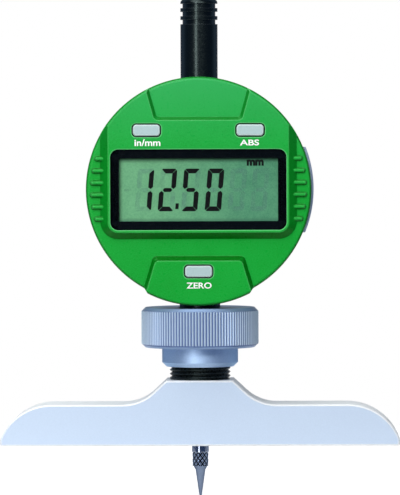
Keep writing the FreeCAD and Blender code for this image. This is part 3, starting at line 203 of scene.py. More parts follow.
class Look:
    """A node material under construction: a Principled shader and short ways to add nodes."""

    def __init__(self, name, roughness=0.5, metallic=0.0):
        self.material = bpy.data.materials.new(name)
        self.material.use_nodes = True
        self.nodes = self.material.node_tree.nodes
        self.links = self.material.node_tree.links
        self.shader = self.nodes["Principled BSDF"]
        self.output = self.nodes["Material Output"]
        self.set("Roughness", roughness)
        self.set("Metallic", metallic)
        self.place = self.nodes.new("ShaderNodeTexCoord").outputs["Object"]

    def set(self, socket, value):
        self.shader.inputs[socket].default_value = value

    def link(self, source, target):
        self.links.new(source, target)

    def noise(self, size, detail=3.0):
        """Noise whose grains are about size metres across."""
        node = self.nodes.new("ShaderNodeTexNoise")
        node.inputs["Scale"].default_value = 1 / size
        node.inputs["Detail"].default_value = detail
        self.link(self.place, node.inputs["Vector"])
        return node.outputs["Fac"]

    def speckle(self, size, detail=3.0):
        """Noise spread over the whole range from 0 to 1."""
        return self.range(self.noise(size, detail), 0.0, 1.0)

    def range(self, source, low, high, from_low=0.3, from_high=0.7):
        """Map a value from one range to another, with its ends held."""
        node = self.nodes.new("ShaderNodeMapRange")
        node.inputs["From Min"].default_value = from_low
        node.inputs["From Max"].default_value = from_high
        node.inputs["To Min"].default_value = low
        node.inputs["To Max"].default_value = high
        self.link(source, node.inputs["Value"])
        return node.outputs["Result"]

    def math(self, kind, first, second=None):
        node = self.nodes.new("ShaderNodeMath")
        node.operation = kind
        for socket, value in zip(node.inputs, (first, second)):
            if isinstance(value, bpy.types.NodeSocket):
                self.link(value, socket)
            elif value is not None:
                socket.default_value = value
        return node.outputs["Value"]

    def mix(self, share, first, second):
        """A colour between two, by a share from 0 to 1."""
        node = self.nodes.new("ShaderNodeMix")
        node.data_type = "RGBA"
        for socket, value in ((node.inputs[0], share), (node.inputs[6], first), (node.inputs[7], second)):
            if isinstance(value, bpy.types.NodeSocket):
                self.link(value, socket)
            else:
                socket.default_value = value
        return node.outputs[2]

    def mix_shaders(self, share, first, second):
        """Show one shader or another, by a share from 0 to 1."""
        node = self.nodes.new("ShaderNodeMixShader")
        self.link(share, node.inputs["Fac"])
        self.link(first, node.inputs[1])
        self.link(second, node.inputs[2])
        self.link(node.outputs["Shader"], self.output.inputs["Surface"])

    def along(self, axis):
        """The place on the piece along one axis, in metres."""
        parts = self.nodes.new("ShaderNodeSeparateXYZ")
        self.link(self.place, parts.inputs["Vector"])
        return parts.outputs[axis]

    def from_axis(self):
        """The distance from the spindle axis, in metres."""
        across = self.math("POWER", self.along("X"), 2.0)
        away = self.math("POWER", self.along("Y"), 2.0)
        return self.math("SQRT", self.math("ADD", across, away))

    def normal_part(self, axis):
        """One component of the surface direction in the piece's own frame, without its sign."""
        direction = self.nodes.new("ShaderNodeTexCoord").outputs["Normal"]
        parts = self.nodes.new("ShaderNodeSeparateXYZ")
        self.link(direction, parts.inputs["Vector"])
        return self.math("ABSOLUTE", parts.outputs[axis])

    def closeness(self, distance, inside, near, far):
        """How much of the surface's surroundings lies within a distance, from 0 to 1."""
        node = self.nodes.new("ShaderNodeAmbientOcclusion")
        node.samples = 8
        node.inside = inside
        node.only_local = inside
        node.inputs["Distance"].default_value = distance
        return self.range(node.outputs["AO"], 1.0, 0.0, near, far)

    def edges(self, distance):
        """How close the surface is to an outer edge."""
        return self.closeness(distance, True, 0.80, 0.98)

    def hollows(self, distance):
        """How deep the surface lies in a corner."""
        return self.closeness(distance, False, 0.45, 0.95)

    def colour(self, source):
        self.link(source, self.shader.inputs["Base Color"])

    def rough(self, source):
        self.link(source, self.shader.inputs["Roughness"])

    def bump(self, source, height, rounding=0.0):
        """A fine relief, and edges that catch the light as if they were rounded."""
        node = self.nodes.new("ShaderNodeBump")
        node.inputs["Distance"].default_value = height
        self.link(source, node.inputs["Height"])
        self.link(node.outputs["Normal"], self.shader.inputs["Normal"])
        if rounding:
            edge = self.nodes.new("ShaderNodeBevel")
            edge.samples = 6
            edge.inputs["Radius"].default_value = rounding
            self.link(edge.outputs["Normal"], node.inputs["Normal"])


# Materials

def green_plastic():
    """Fine-textured moulded plastic, with painted shade on sloped walls, in corners and in gaps, a
    painted highlight along its edges, and painted light that makes it paler towards the top.
    """
    look = Look("green_plastic")
    look.set("Specular IOR Level", 0.12)
    fine = look.mix(look.speckle(0.3 * MM, 4), linear(4, 152, 40), linear(22, 172, 60))
    face = look.mix(look.range(look.noise(9 * MM, 2), 0.0, 0.35), fine, linear(26, 178, 66))
    # Painted light: the face is painted paler and bluer towards the top, as the lamps above would light
    # it.
    face = look.mix(look.range(look.along("Z"), 0.0, 0.55, 72 * MM, 92 * MM), face, linear(60, 176, 104))
    # Painted shade: walls that slope away from the front are painted a darker green than the face.
    painted_wall_shade = look.mix(look.speckle(0.4 * MM), linear(0, 104, 12), linear(0, 118, 20))
    flat = look.range(look.normal_part("Y"), 0.0, 1.0, 0.72, 0.97)
    side = look.range(look.normal_part("Y"), 0.7, 0.0, 0.1, 0.4)
    body = look.mix(look.math("MAXIMUM", flat, side), painted_wall_shade, face)
    # Painted shade: darker green in corners and at the feet of walls.
    body = look.mix(look.range(look.hollows(1.0 * MM), 0.0, 0.7, 0.0, 1.0), body, linear(0, 88, 12))
    # Painted highlight: outer edges are painted pale green.
    painted_edge_highlight = look.range(look.edges(0.3 * MM), 0.0, 0.65, 0.15, 1.0)
    body = look.mix(painted_edge_highlight, body, linear(120, 228, 146))
    # Painted shadow: near black where the surface lies deep in a gap.
    look.colour(look.mix(look.closeness(0.7 * MM, False, 0.1, 0.72), body, linear(1, 10, 5)))
    look.rough(look.range(look.noise(0.8 * MM), 0.26, 0.36))
    look.bump(look.noise(0.22 * MM, 5), 0.015 * MM, 0.45 * MM)
    return look.material


def ground_steel():
    """Satin chrome: a pale blast-finished block, painted near white on faces that point up or down as
    light from above would show its top, with a painted highlight along its edges.
    """
    look = Look("ground_steel", metallic=0.15)
    look.set("Specular Tint", SLANT_TINT)
    tone = look.mix(look.noise(0.3 * MM, 4), linear(199, 216, 237), linear(209, 226, 247))
    # Painted light: faces that point up or down are painted near white.
    tone = look.mix(look.range(look.normal_part("Z"), 0.0, 1.0, 0.1, 0.5), tone, linear(246, 252, 255))
    # Painted highlight: edges are painted white.
    tone = look.mix(look.range(look.edges(0.3 * MM), 0.0, 1.0, 0.0, 0.7), tone, linear(255, 255, 255))
    look.colour(tone)
    look.rough(look.range(look.noise(0.6 * MM), 0.36, 0.45))
    look.bump(look.noise(0.3 * MM, 5), 0.001 * MM, 0.15 * MM)
    return look.material


def nut_metal():
    """Blue-silver aluminium: pale, with painted deep-blue shade in the grooves of the ring, more of a
    mirror on the collar.
    """
    look = Look("nut_metal")
    height = look.along("Z")
    ring = look.range(height, 0.0, 1.0, COLLAR_TOP - 0.1 * MM, COLLAR_TOP + 0.1 * MM)
    above = look.range(height, 0.0, 1.0, COLLAR_TOP + 0.6 * MM, COLLAR_TOP + 0.9 * MM)
    below = look.range(height, 1.0, 0.0, NUT_TOP - 0.9 * MM, NUT_TOP - 0.6 * MM)
    pale = look.mix(look.speckle(0.4 * MM, 2), linear(212, 236, 255), linear(224, 243, 255))
    # Painted shade: the grooves between the teeth are painted deep blue.
    groove = look.range(look.from_axis(), 0.95, 0.0, NUT_RADIUS - 0.32 * MM, NUT_RADIUS)
    teeth_with_painted_shade = look.mix(groove, pale, linear(8, 62, 146))
    rim = look.mix(look.math("MULTIPLY", above, below), linear(150, 176, 216), teeth_with_painted_shade)
    plain = look.mix(look.speckle(0.4 * MM, 2), linear(186, 212, 240), linear(196, 220, 248))
    look.colour(look.mix(ring, plain, rim))
    face = look.range(look.normal_part("Z"), 0.0, 0.77, 0.85, 0.97)
    metal = look.range(ring, 0.97, 0.2, 0.0, 1.0)
    look.link(look.math("MAXIMUM", metal, face), look.shader.inputs["Metallic"])
    look.set("Specular Tint", (0.35, 0.45, 0.6, 1.0))
    smooth = look.range(ring, 0.52, 0.4, 0.0, 1.0)
    look.rough(look.math("ADD", smooth, look.range(look.noise(0.5 * MM), -0.03, 0.03)))
    return look.material


def black_finish(name, grain, roughness):
    """A deep black surface with a soft sheen, a fine grain and a painted highlight along its edges."""
    look = Look(name)
    tone = look.mix(look.noise(grain * 2, 4), linear(3, 6, 7), linear(9, 12, 13))
    # Painted highlight: edges are painted a paler grey.
    painted_edge_highlight = look.range(look.edges(0.12 * MM), 0.0, 0.3, 0.2, 1.0)
    look.colour(look.mix(painted_edge_highlight, tone, linear(70, 76, 84)))
    look.set("Specular IOR Level", 0.45)
    look.set("Specular Tint", (0.72, 0.95, 0.9, 1.0))
    look.rough(look.range(look.noise(grain * 3), roughness - 0.04, roughness + 0.06))
    look.bump(look.noise(grain, 5), 0.002 * MM, 0.1 * MM)
    return look.material


def black_steel():
    return black_finish("black_steel", 0.22 * MM, 0.28)


def black_plastic():
    return black_finish("black_plastic", 0.2 * MM, 0.24)


def black_gloss():
    """The smooth frame behind the window."""
    look = Look("black_gloss")
    look.set("Specular IOR Level", 0.2)
    look.colour(look.mix(look.noise(0.6 * MM, 4), linear(3, 7, 9), linear(9, 14, 17)))
    look.rough(look.range(look.noise(1.5 * MM), 0.08, 0.18))
    return look.material


def hard_point():
    """Dark hardened steel, with painted near-black shade in the grooves of its knurl."""
    look = Look("hard_point", metallic=1.0)
    look.set("Specular Tint", SLANT_TINT)
    tone = look.mix(look.noise(0.3 * MM, 4), linear(114, 128, 152), linear(136, 150, 176))
    # Painted shade: the grooves of the knurl are painted near black.
    deep = look.range(look.from_axis(), 1.0, 0.0, GRIP_RADIUS - 0.2 * MM, GRIP_RADIUS - 0.04 * MM)
    grip = look.range(look.along("Z"), 0.0, 1.0, GRIP_LOW - 0.02 * MM, GRIP_LOW + 0.02 * MM)
    look.colour(look.mix(look.math("MULTIPLY", deep, grip), tone, linear(12, 18, 28)))
    look.rough(look.range(look.noise(0.4 * MM), 0.15, 0.26))
    look.bump(look.noise(0.2 * MM, 4), 0.001 * MM)
    return look.material


def clear_window():
    """A flat clear pane: see-through, with a weak gloss that grows at a slant."""
    look = Look("clear_window", roughness=0.03)
    glossy = look.nodes.new("ShaderNodeBsdfGlossy")
    glossy.inputs["Roughness"].default_value = 0.03
    clear = look.nodes.new("ShaderNodeBsdfTransparent")
    facing = look.nodes.new("ShaderNodeLayerWeight")
    facing.inputs["Blend"].default_value = 0.12
    share = look.range(facing.outputs["Fresnel"], 0.0, 0.6, 0.0, 1.0)
    smudge = look.range(look.noise(6 * MM, 2), 0.7, 1.0)
    gloss = look.math("MULTIPLY", share, smudge)
    look.mix_shaders(gloss, clear.outputs["BSDF"], glossy.outputs["BSDF"])
    return look.material


def lcd():
    """Grey-green reflective display, mottled, with a painted shadow of its frame along the top and left,
    and darker along the bottom and to the right.
    """
    look = Look("lcd")
    look.set("Specular IOR Level", 0.1)
    cloud = look.range(look.noise(3.4 * MM, 2), -0.22, 0.22)
    grain = look.range(look.noise(0.3 * MM, 1), -0.3, 0.3, 0.35, 0.65)
    mottle = look.math("ADD", look.math("ADD", cloud, grain), 0.5)
    body = look.mix(mottle, linear(101, 164, 122), linear(119, 187, 138))
    across, height = look.along("X"), look.along("Z")
    right = look.range(across, 0.0, 0.95, -10 * MM, 12 * MM)
    body = look.mix(right, body, look.mix(mottle, linear(70, 136, 104), linear(92, 160, 122)))
    # Painted shadow of the frame along the top edge.
    top = look.range(height, 0.0, 0.85, VIEW_HIGH - 1.3 * MM, VIEW_HIGH - 0.1 * MM)
    body = look.mix(top, body, linear(8, 34, 24))
    low = look.range(height, 0.5, 0.0, VIEW_LOW, VIEW_LOW + 0.9 * MM)
    body = look.mix(low, body, linear(50, 92, 78))
    # Painted shadow of the frame along the left edge.
    left = look.range(across, 0.55, 0.0, -VIEW_HALF, -VIEW_HALF + 1.0 * MM)
    look.colour(look.mix(left, body, linear(8, 34, 24)))
    look.rough(look.range(look.noise(0.3 * MM), 0.55, 0.66))
    return look.material


def circuit():
    """Green solder mask with copper tracks showing as paler lines."""
    look = Look("circuit")
    tracks = look.nodes.new("ShaderNodeTexBrick")
    tracks.inputs["Scale"].default_value = 1 / (3.2 * MM)
    tracks.inputs["Mortar Size"].default_value = 0.03
    tracks.inputs["Color1"].default_value = linear(8, 66, 40)
    tracks.inputs["Color2"].default_value = linear(10, 74, 44)
    tracks.inputs["Mortar"].default_value = linear(60, 130, 70)
    turned = look.nodes.new("ShaderNodeMapping")
    turned.inputs["Rotation"].default_value = (math.radians(90), 0, 0)
    look.link(look.place, turned.inputs["Vector"])
    look.link(turned.outputs["Vector"], tracks.inputs["Vector"])
    look.colour(look.mix(look.noise(1.5 * MM), tracks.outputs["Color"], linear(6, 58, 36)))
    look.rough(look.range(look.noise(0.6 * MM), 0.3, 0.42))
    return look.material


def scale_look():
    """The measuring scale: copper bars, 1 mm apart, across green board."""
    look = Look("scale")
    wave = look.math("FRACT", look.math("MULTIPLY", look.along("Z"), 1 / (1.0 * MM)))
    bars = look.math("GREATER_THAN", wave, 0.5)
    copper = look.mix(look.noise(0.5 * MM), linear(176, 120, 60), linear(206, 150, 84))
    look.colour(look.mix(bars, linear(20, 70, 46), copper))
    look.rough(look.range(look.noise(0.6 * MM), 0.16, 0.3))
    return look.material


def print_ink():
    look = Look("white_print")
    look.colour(look.mix(look.noise(0.3 * MM), linear(246, 252, 248), linear(255, 255, 255)))
    look.rough(look.range(look.noise(0.5 * MM), 0.45, 0.6))
    return look.material


def segment_ink():
    look = Look("segment_dark")
    look.set("Specular IOR Level", 0.1)
    look.colour(look.mix(look.noise(0.6 * MM), linear(1, 3, 4), linear(7, 10, 12)))
    look.rough(look.range(look.noise(0.8 * MM), 0.5, 0.6))
    return look.material


def ghost_ink():
    """A switched-off segment: a faint blue-grey veil."""
    look = Look("segment_faint")
    look.colour(look.mix(look.noise(0.5 * MM), linear(104, 140, 158), linear(118, 152, 172)))
    clear = look.nodes.new("ShaderNodeBsdfTransparent")
    veil = look.range(look.noise(1.6 * MM), 0.01, 0.09)
    look.mix_shaders(veil, clear.outputs["BSDF"], look.shader.outputs["BSDF"])
    return look.material


def satin_metal(name, dark, light, roughness, grain, edge=0.0):
    """Machined metal with a fine grain and, where asked, a painted highlight along its edges."""
    look = Look(name, metallic=1.0)
    look.set("Specular Tint", SLANT_TINT)
    tone = look.mix(look.noise(grain, 4), linear(*dark), linear(*light))
    if edge:
        # Painted highlight: edges are painted paler.
        painted_edge_highlight = look.range(look.edges(0.25 * MM), 0.0, edge, 0.1, 1.0)
        tone = look.mix(painted_edge_highlight, tone, (0.92, 0.95, 1.0, 1.0))
    look.colour(tone)
    look.rough(look.range(look.noise(grain * 2), roughness - 0.04, roughness + 0.05))
    look.bump(look.noise(grain, 5), 0.001 * MM, 0.1 * MM)
    return look.material


def tinted(name, dark, light, roughness, edge=0.3, metallic=0.0, shade=0.4):
    """A moulded or pressed surface with a fine grain, a painted highlight along its edges and painted
    black shade where a gap closes in.
    """
    grain = 0.4 * MM
    look = Look(name, metallic=metallic)
    tone = look.mix(look.noise(grain, 4), linear(*dark), linear(*light))
    # Painted highlight: edges are painted near white.
    painted_edge_highlight = look.range(look.edges(0.2 * MM), 0.0, edge, 0.1, 0.9)
    tone = look.mix(painted_edge_highlight, tone, (0.95, 0.97, 0.97, 1.0))
    # Painted shade: black where a gap closes in.
    painted_gap_shade = look.closeness(0.6 * MM, False, shade, shade + 0.35)
    look.colour(look.mix(painted_gap_shade, tone, linear(2, 5, 5)))
    look.rough(look.range(look.noise(grain * 2), roughness - 0.05, roughness + 0.08))
    look.bump(look.noise(grain * 0.6, 4), 0.012 * MM)
    return look.material


# Slots with a look of their own
OWN_LOOKS = {
    "ground_steel": ground_steel,
    "black_steel": black_steel,
    "nut_metal": nut_metal,
    "green_plastic": green_plastic,
    "black_plastic": black_plastic,
    "clear_window": clear_window,
    "lcd": lcd,
    "circuit": circuit,
    "scale": scale_look,
}

# Slots of moulded pieces: dark and light tone, roughness, and what differs from the rest
TINTS = {
    "grey_button": ((165, 191, 193), (182, 209, 211), 0.4, {"edge": 0.8, "shade": 0.62}),
    "grey_drawer": ((170, 190, 218), (190, 208, 234), 0.35, {"edge": 0.8, "metallic": 0.4}),
    "chip": ((20, 20, 22), (34, 34, 36), 0.6, {"edge": 0.15}),
    "elastomer": ((150, 110, 120), (176, 132, 140), 0.6, {}),
}

# Slots of machined pieces: dark and light tone, roughness, grain and brightness of the painted edge
# highlight
METALS = {
    "spring_steel": ((150, 154, 160), (190, 194, 200), 0.28, 0.3 * MM, 0.0),
    "spindle_steel": ((142, 150, 166), (166, 174, 190), 0.16, 0.5 * MM, 0.3),
    "bronze": ((150, 104, 50), (190, 138, 74), 0.35, 0.3 * MM, 0.0),
    "cell_steel": ((180, 182, 184), (206, 208, 210), 0.22, 0.6 * MM, 0.0),
    "grey_metal": ((128, 132, 138), (158, 162, 168), 0.38, 0.4 * MM, 0.0),
}


def make_looks():
    """The material of each slot."""
    made = {slot: make() for slot, make in OWN_LOOKS.items()}
    for slot, (dark, light, roughness, rest) in TINTS.items():
        made[slot] = tinted(slot, dark, light, roughness, **rest)
    for slot, row in METALS.items():
        made[slot] = satin_metal(slot, *row)
    return made


def dress_nodes(looks):
    """Give each solid of the frame its slot's material, and the frame behind the window its own."""
    for part in frame["record"]["subparts"]:
        node = frame["nodes"][part["node"]]
        node.data.materials.clear()
        node.data.materials.append(looks[part["material_slot"]])
    frame["nodes"]["display_frame"].data.materials[0] = black_gloss()


# Mesh helpers

def piece(name, mesh, material, body):
    """Link a finished mesh as a piece that rides on a body."""
    made = bpy.data.objects.new(name, mesh)
    bpy.context.scene.collection.objects.link(made)
    mesh.materials.clear()
    mesh.materials.append(material)
    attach(made, body)
    return made


def shown_mesh(target):
    """A new mesh of an object as it shows, with its modifiers or its letters."""
    bpy.context.view_layer.update()
    shown = target.evaluated_get(bpy.context.evaluated_depsgraph_get())
    return bpy.data.meshes.new_from_object(shown)


def mesh_of(name, vertices, faces):
    mesh = bpy.data.meshes.new(name)
    mesh.from_pydata(vertices, [], faces)
    return mesh


def shade_smooth(target, angle):
    """Smooth shading that keeps edges sharper than an angle in degrees."""
    target.data.polygons.foreach_set("use_smooth", [True] * len(target.data.polygons))
    target.data.set_sharp_from_angle(angle=math.radians(angle))


def turned_points(profile, around):
    """All points of a turned form. profile gives (radius, z) points for a share of the turn."""
    points = []
    for i in range(around):
        turn = 2 * math.pi * i / around
        points += [(r * math.cos(turn), r * math.sin(turn), z) for r, z in profile(i / around)]
    return points


def turned_ring(name, profile, around):
    """A turned solid with a hole on its axis, from a profile that closes on itself."""
    vertices = turned_points(profile, around)
    count = len(vertices) // around
    faces = []
    for i in range(around):
        here, there = i * count, (i + 1) % around * count
        for k in range(count):
            n = (k + 1) % count
            faces.append((here + k, there + k, there + n, here + n))
    return mesh_of(name, vertices, faces)


def turned_solid(name, profile, around, top_z, tip_z):
    """A turned solid, closed on its axis at both ends, from a profile that runs down."""
    vertices = turned_points(profile, around)
    count = len(vertices) // around
    top, tip = len(vertices), len(vertices) + 1
    vertices += [(0, 0, top_z), (0, 0, tip_z)]
    faces = []
    for i in range(around):
        here, there = i * count, (i + 1) % around * count
        faces.append((top, here, there))
        faces.append((here + count - 1, tip, there + count - 1))
        for k in range(count - 1):
            faces.append((here + k, here + k + 1, there + k + 1, there + k))
    return mesh_of(name, vertices, faces)


def plates(name, outlines, front_y):
    """Thin plates from (x, z) outlines, with their fronts at front_y."""
    bm = bmesh.new()
    for outline in outlines:
        ring = [bm.verts.new((x, front_y, z)) for x, z in outline]
        face = bm.faces.new(ring)
        made = bmesh.ops.extrude_face_region(bm, geom=[face])
        moved = [item for item in made["geom"] if isinstance(item, bmesh.types.BMVert)]
        bmesh.ops.translate(bm, verts=moved, vec=(0, PRINT_DEPTH, 0))
    bmesh.ops.recalc_face_normals(bm, faces=bm.faces)
    mesh = bpy.data.meshes.new(name)
    bm.to_mesh(mesh)
    bm.free()
    return mesh


def lettering(row, back_y, boldness):
    """Upright letters stretched to a width and height, facing the viewer, as one mesh."""
    name, text, *sizes = row
    width, height, x, z = (value * MM for value in sizes)
    curve = bpy.data.curves.new(name, "FONT")
    curve.body = text
    curve.offset = boldness
    curve.extrude = 0.05
    curve.resolution_u = 6
    helper = bpy.data.objects.new(name + "_text", curve)
    bpy.context.scene.collection.objects.link(helper)
    mesh = shown_mesh(helper)
    bpy.data.objects.remove(helper)
    xs = [v.co.x for v in mesh.vertices]
    ys = [v.co.y for v in mesh.vertices]
    zs = [v.co.z for v in mesh.vertices]
    wide, high, deep = (max(a) - min(a) for a in (xs, ys, zs))
    for v in mesh.vertices:
        across = (v.co.x - min(xs)) / wide - 0.5
        up = (v.co.y - min(ys)) / high - 0.5
        out = (v.co.z - min(zs)) / deep
        v.co = (x + across * width, back_y - out * PRINT_DEPTH, z + up * height)
    mesh.name = name
    return mesh


# Display and labels

def flipped(outline, sx, sz):
    return [(sx * x, sz * z) for x, z in outline]


def segment_outlines():
    """The seven segments of one digit, as (x, z) outlines about its centre, before the slant."""
    w, h, t, g = DIGIT_WIDTH / 2, DIGIT_HEIGHT / 2, STROKE, SEGMENT_GAP / 2
    c, m = CORNER_CUT, MIDDLE_STROKE / 2
    top = [(-w + c + g, h), (w - c - g, h), (w - c / 2 - g, h - c / 2 + g),
           (w - t - g, h - t), (-w + t + g, h - t), (-w + c / 2 + g, h - c / 2 + g)]
    tip = t * 0.45
    side = [(w, h - c), (w - c / 2, h - c / 2 - g), (w - t, h - t - g), (w - t, POINT_GAP + POINT_RISE),
            (w - tip, POINT_GAP), (w, POINT_GAP + POINT_RISE * 1.3)]
    reach = w - t * 0.72
    middle = [(-reach, 0), (-reach + m * 0.8, m), (reach - m * 0.8, m), (reach, 0),
              (reach - m * 0.8, -m), (-reach + m * 0.8, -m)]
    return {
        "a": top, "d": flipped(top, 1, -1), "g": middle,
        "b": side, "f": flipped(side, -1, 1), "c": flipped(side, 1, -1), "e": flipped(side, -1, -1),
    }


def placed(outline, x):
    """An outline about a place on the digits' middle line, with their slant."""
    return [(x + px + pz * SLANT, DIGIT_MIDDLE_Z + pz) for px, pz in outline]


def bar(left, right, top, bottom):
    """A rectangle's outline, from millimetres."""
    corners_mm = ((left, top), (right, top), (right, bottom), (left, bottom))
    return [(x * MM, z * MM) for x, z in corners_mm]


def make_display():
    """The lit and the faint segments, and the unit above them."""
    segments = segment_outlines()
    lit, faint = [], []
    for x, shown in zip(DIGIT_PLACES, READING):
        for name, outline in segments.items():
            (lit if name in shown else faint).append(placed(outline, x * MM))
    lit.append(placed(bar(*DECIMAL_POINT), DECIMAL_PLACE))
    faint.append(placed(bar(*MINUS_SIGN), MINUS_PLACE))
    back_y = LCD_Y - 0.01 * MM
    front_y = back_y - PRINT_DEPTH
    dark = segment_ink()
    piece("display_digits", plates("display_digits", lit, front_y), dark, "indicator")
    ghosts = plates("display_faint_segments", faint, front_y)
    piece("display_faint_segments", ghosts, ghost_ink(), "indicator")
    piece("display_unit", lettering(UNIT_TEXT, back_y, UNIT_BOLDNESS), dark, "indicator")


def make_labels():
    """The white names of the buttons, two on the face and one on the chin."""
    ink = print_ink()
    for row, back_y in [(row, FACE_Y) for row in FACE_TEXTS] + [(CHIN_TEXT, CHIN_Y)]:
        piece(row[0], lettering(row, back_y, PRINT_BOLDNESS), ink, "indicator")


# Threaded post, coil spring and contact point

def thread_radius(share, z, crest, low, high):
    """Radius of a rounded screw thread, which fades out at both ends."""
    phase = (z / THREAD_PITCH - share) % 1.0
    wave = 0.5 - 0.5 * math.cos(2 * math.pi * phase)
    fade = min(1.0, (z - low) / THREAD_FADE, (high - z) / THREAD_FADE)
    return crest - THREAD_DEPTH * (1 - wave ** 0.8) * max(fade, 0.0)


def make_post(look):
    """The collet: a threaded post with a slotted, tapered nose."""
    low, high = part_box("collet")
    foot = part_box("base")[1].z
    top = foot + THREAD_LENGTH

    def profile(share):
        outer = [(PLUG_RADIUS, low.z), (PLUG_RADIUS, foot)]
        for i in range(THREAD_STEPS + 1):
            z = foot + (top - foot) * i / THREAD_STEPS
            outer.append((thread_radius(share, z, high.x, foot, top), z))
        outer += [(NOSE_LOW, top), (NOSE_HIGH, high.z)]
        inner = [(POST_BORE, high.z), (POST_BORE, BORE_FLOOR)]
        inner += [(POST_HOLE, BORE_FLOOR), (POST_HOLE, low.z)]
        return outer + inner

    mesh = turned_ring("threaded_post", profile, 120)
    post = piece("threaded_post", mesh, look, "base")
    for turn in SLOT_TURNS:
        cut_slot(post, turn, top - SLOT_DEPTH, high.z + MM)
    shade_smooth(post, 40)
    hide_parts("collet")


def cut_slot(target, turn, low, high):
    """Cut a narrow slot right across the nose."""
    bm = bmesh.new()
    bmesh.ops.create_cube(bm, size=1.0)
    size = Matrix.Diagonal((SLOT_REACH, SLOT_WIDTH, high - low, 1.0))
    turned = Matrix.Rotation(math.radians(turn), 4, "Z")
    lifted = Matrix.Translation((0, 0, (low + high) / 2))
    bmesh.ops.transform(bm, matrix=turned @ lifted @ size, verts=bm.verts)
    mesh = bpy.data.meshes.new("slot_cutter")
    bm.to_mesh(mesh)
    bm.free()
    cutter = bpy.data.objects.new("slot_cutter", mesh)
    bpy.context.scene.collection.objects.link(cutter)
    step = target.modifiers.new("slot", "BOOLEAN")
    step.object = cutter
    step.solver = "EXACT"
    cut = shown_mesh(target)
    target.modifiers.clear()
    target.data = cut
    bpy.data.objects.remove(cutter)


def spring_points(low, high):
    """Rings of points round the wire, all the way up the spring."""
    coil = high.x - WIRE
    count = COILS * COIL_STEPS
    rise = (high.z - low.z - 2 * WIRE) / count
    points = []
    for i in range(count + 1):
        turn = 2 * math.pi * i / COIL_STEPS
        out = Vector((math.cos(turn), math.sin(turn), 0))
        middle = out * coil + Vector((0, 0, low.z + WIRE + rise * i))
        for k in range(WIRE_SIDES):
            spin = 2 * math.pi * k / WIRE_SIDES
            points.append(middle + out * WIRE * math.cos(spin) + Vector((0, 0, WIRE * math.sin(spin))))
    return points


def make_spring(look):
    """The round-wire return spring, which the spindle squeezes as it rises; here it rides on the
    indicator and keeps its length.
    """
    low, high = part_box("return_spring")
    last = COILS * COIL_STEPS * WIRE_SIDES
    faces = []
    for here in range(0, last, WIRE_SIDES):
        there = here + WIRE_SIDES
        for k in range(WIRE_SIDES):
            n = (k + 1) % WIRE_SIDES
            faces.append((here + k, here + n, there + n, there + k))
    faces.append(tuple(range(WIRE_SIDES)))
    faces.append(tuple(last + WIRE_SIDES - 1 - k for k in range(WIRE_SIDES)))
    mesh = mesh_of("coil_spring", spring_points(low, high), faces)
    spring = piece("coil_spring", mesh, look, "indicator")
    shade_smooth(spring, 50)
    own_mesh(spring)
    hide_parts("return_spring")


def grip_radius(share, down):
    """Radius of the knurled grip at a share of the turn, and a share of its length from its top."""
    first = (share * KNURL_AROUND + down * KNURL_ROWS) % 1.0
    second = (share * KNURL_AROUND - down * KNURL_ROWS) % 1.0
    groove = max(abs(first - 0.5), abs(second - 0.5)) * 2
    cut = max(0.0, (groove - KNURL_CREST) / (1 - KNURL_CREST))
    return GRIP_RADIUS - KNURL_DEPTH * cut


def make_point():
    """The contact point, with a diamond knurl, a taper and a long cone to a rounded tip."""
    low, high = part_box("contact_point")
    taper = [(GRIP_RADIUS - KNURL_DEPTH, GRIP_LOW), (SHANK_RADIUS, GRIP_LOW - TAPER_LENGTH)]
    middle = low.z + TIP_RADIUS
    tip = [(TIP_RADIUS * math.cos(t), middle - TIP_RADIUS * math.sin(t)) for t in TIP_TURNS]

    def profile(share):
        grip = []
        for i in range(GRIP_STEPS + 1):
            down = i / GRIP_STEPS
            grip.append((grip_radius(share, down), GRIP_HIGH - (GRIP_HIGH - GRIP_LOW) * down))
        return [(SHANK_RADIUS, high.z), (SHANK_RADIUS, GRIP_HIGH)] + grip + taper + tip

    mesh = turned_solid("knurled_point", profile, KNURL_AROUND * 16, high.z, low.z)
    point = piece("knurled_point", mesh, hard_point(), "spindle")
    shade_smooth(point, 30)
    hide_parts("contact_point")


# Stage, light and camera

def ray_share(nodes, links, kinds):
    """1 where a ray is one of these kinds of the Light Path node."""
    path = nodes.new("ShaderNodeLightPath")
    total = path.outputs[kinds[0]]
    for kind in kinds[1:]:
        node = nodes.new("ShaderNodeMath")
        node.operation = "MAXIMUM"
        links.new(total, node.inputs[0])
        links.new(path.outputs[kind], node.inputs[1])
        total = node.outputs["Value"]
    return total


def floor_look():
    """Pale, seen as white, and mirrored as white but for the shade under the object."""
    look = Look("floor", roughness=0.9)
    look.colour(look.mix(look.noise(0.2), (0.86, 0.86, 0.86, 1.0), (0.9, 0.9, 0.9, 1.0)))
    glow = look.nodes.new("ShaderNodeEmission")
    seen = ray_share(look.nodes, look.links, ("Is Camera Ray", "Is Transmission Ray"))
    mirrored = ray_share(look.nodes, look.links, ("Is Glossy Ray",))
    # Painted shade: the glow that smooth surfaces mirror is darkened where the object closes in over the
    # floor.
    open_floor = look.math("SUBTRACT", 1.0, look.closeness(FLOOR_SHADE, False, 0.0, 1.0))
    mirrored = look.math("MULTIPLY", mirrored, look.math("POWER", open_floor, 2.0))
    strength = look.math("MULTIPLY", look.math("MAXIMUM", seen, mirrored), FLOOR_GLOW)
    look.link(strength, glow.inputs["Strength"])
    total = look.nodes.new("ShaderNodeAddShader")
    look.link(look.shader.outputs["BSDF"], total.inputs[0])
    look.link(glow.outputs["Emission"], total.inputs[1])
    look.link(total.outputs["Shader"], look.output.inputs["Surface"])
    return look.material


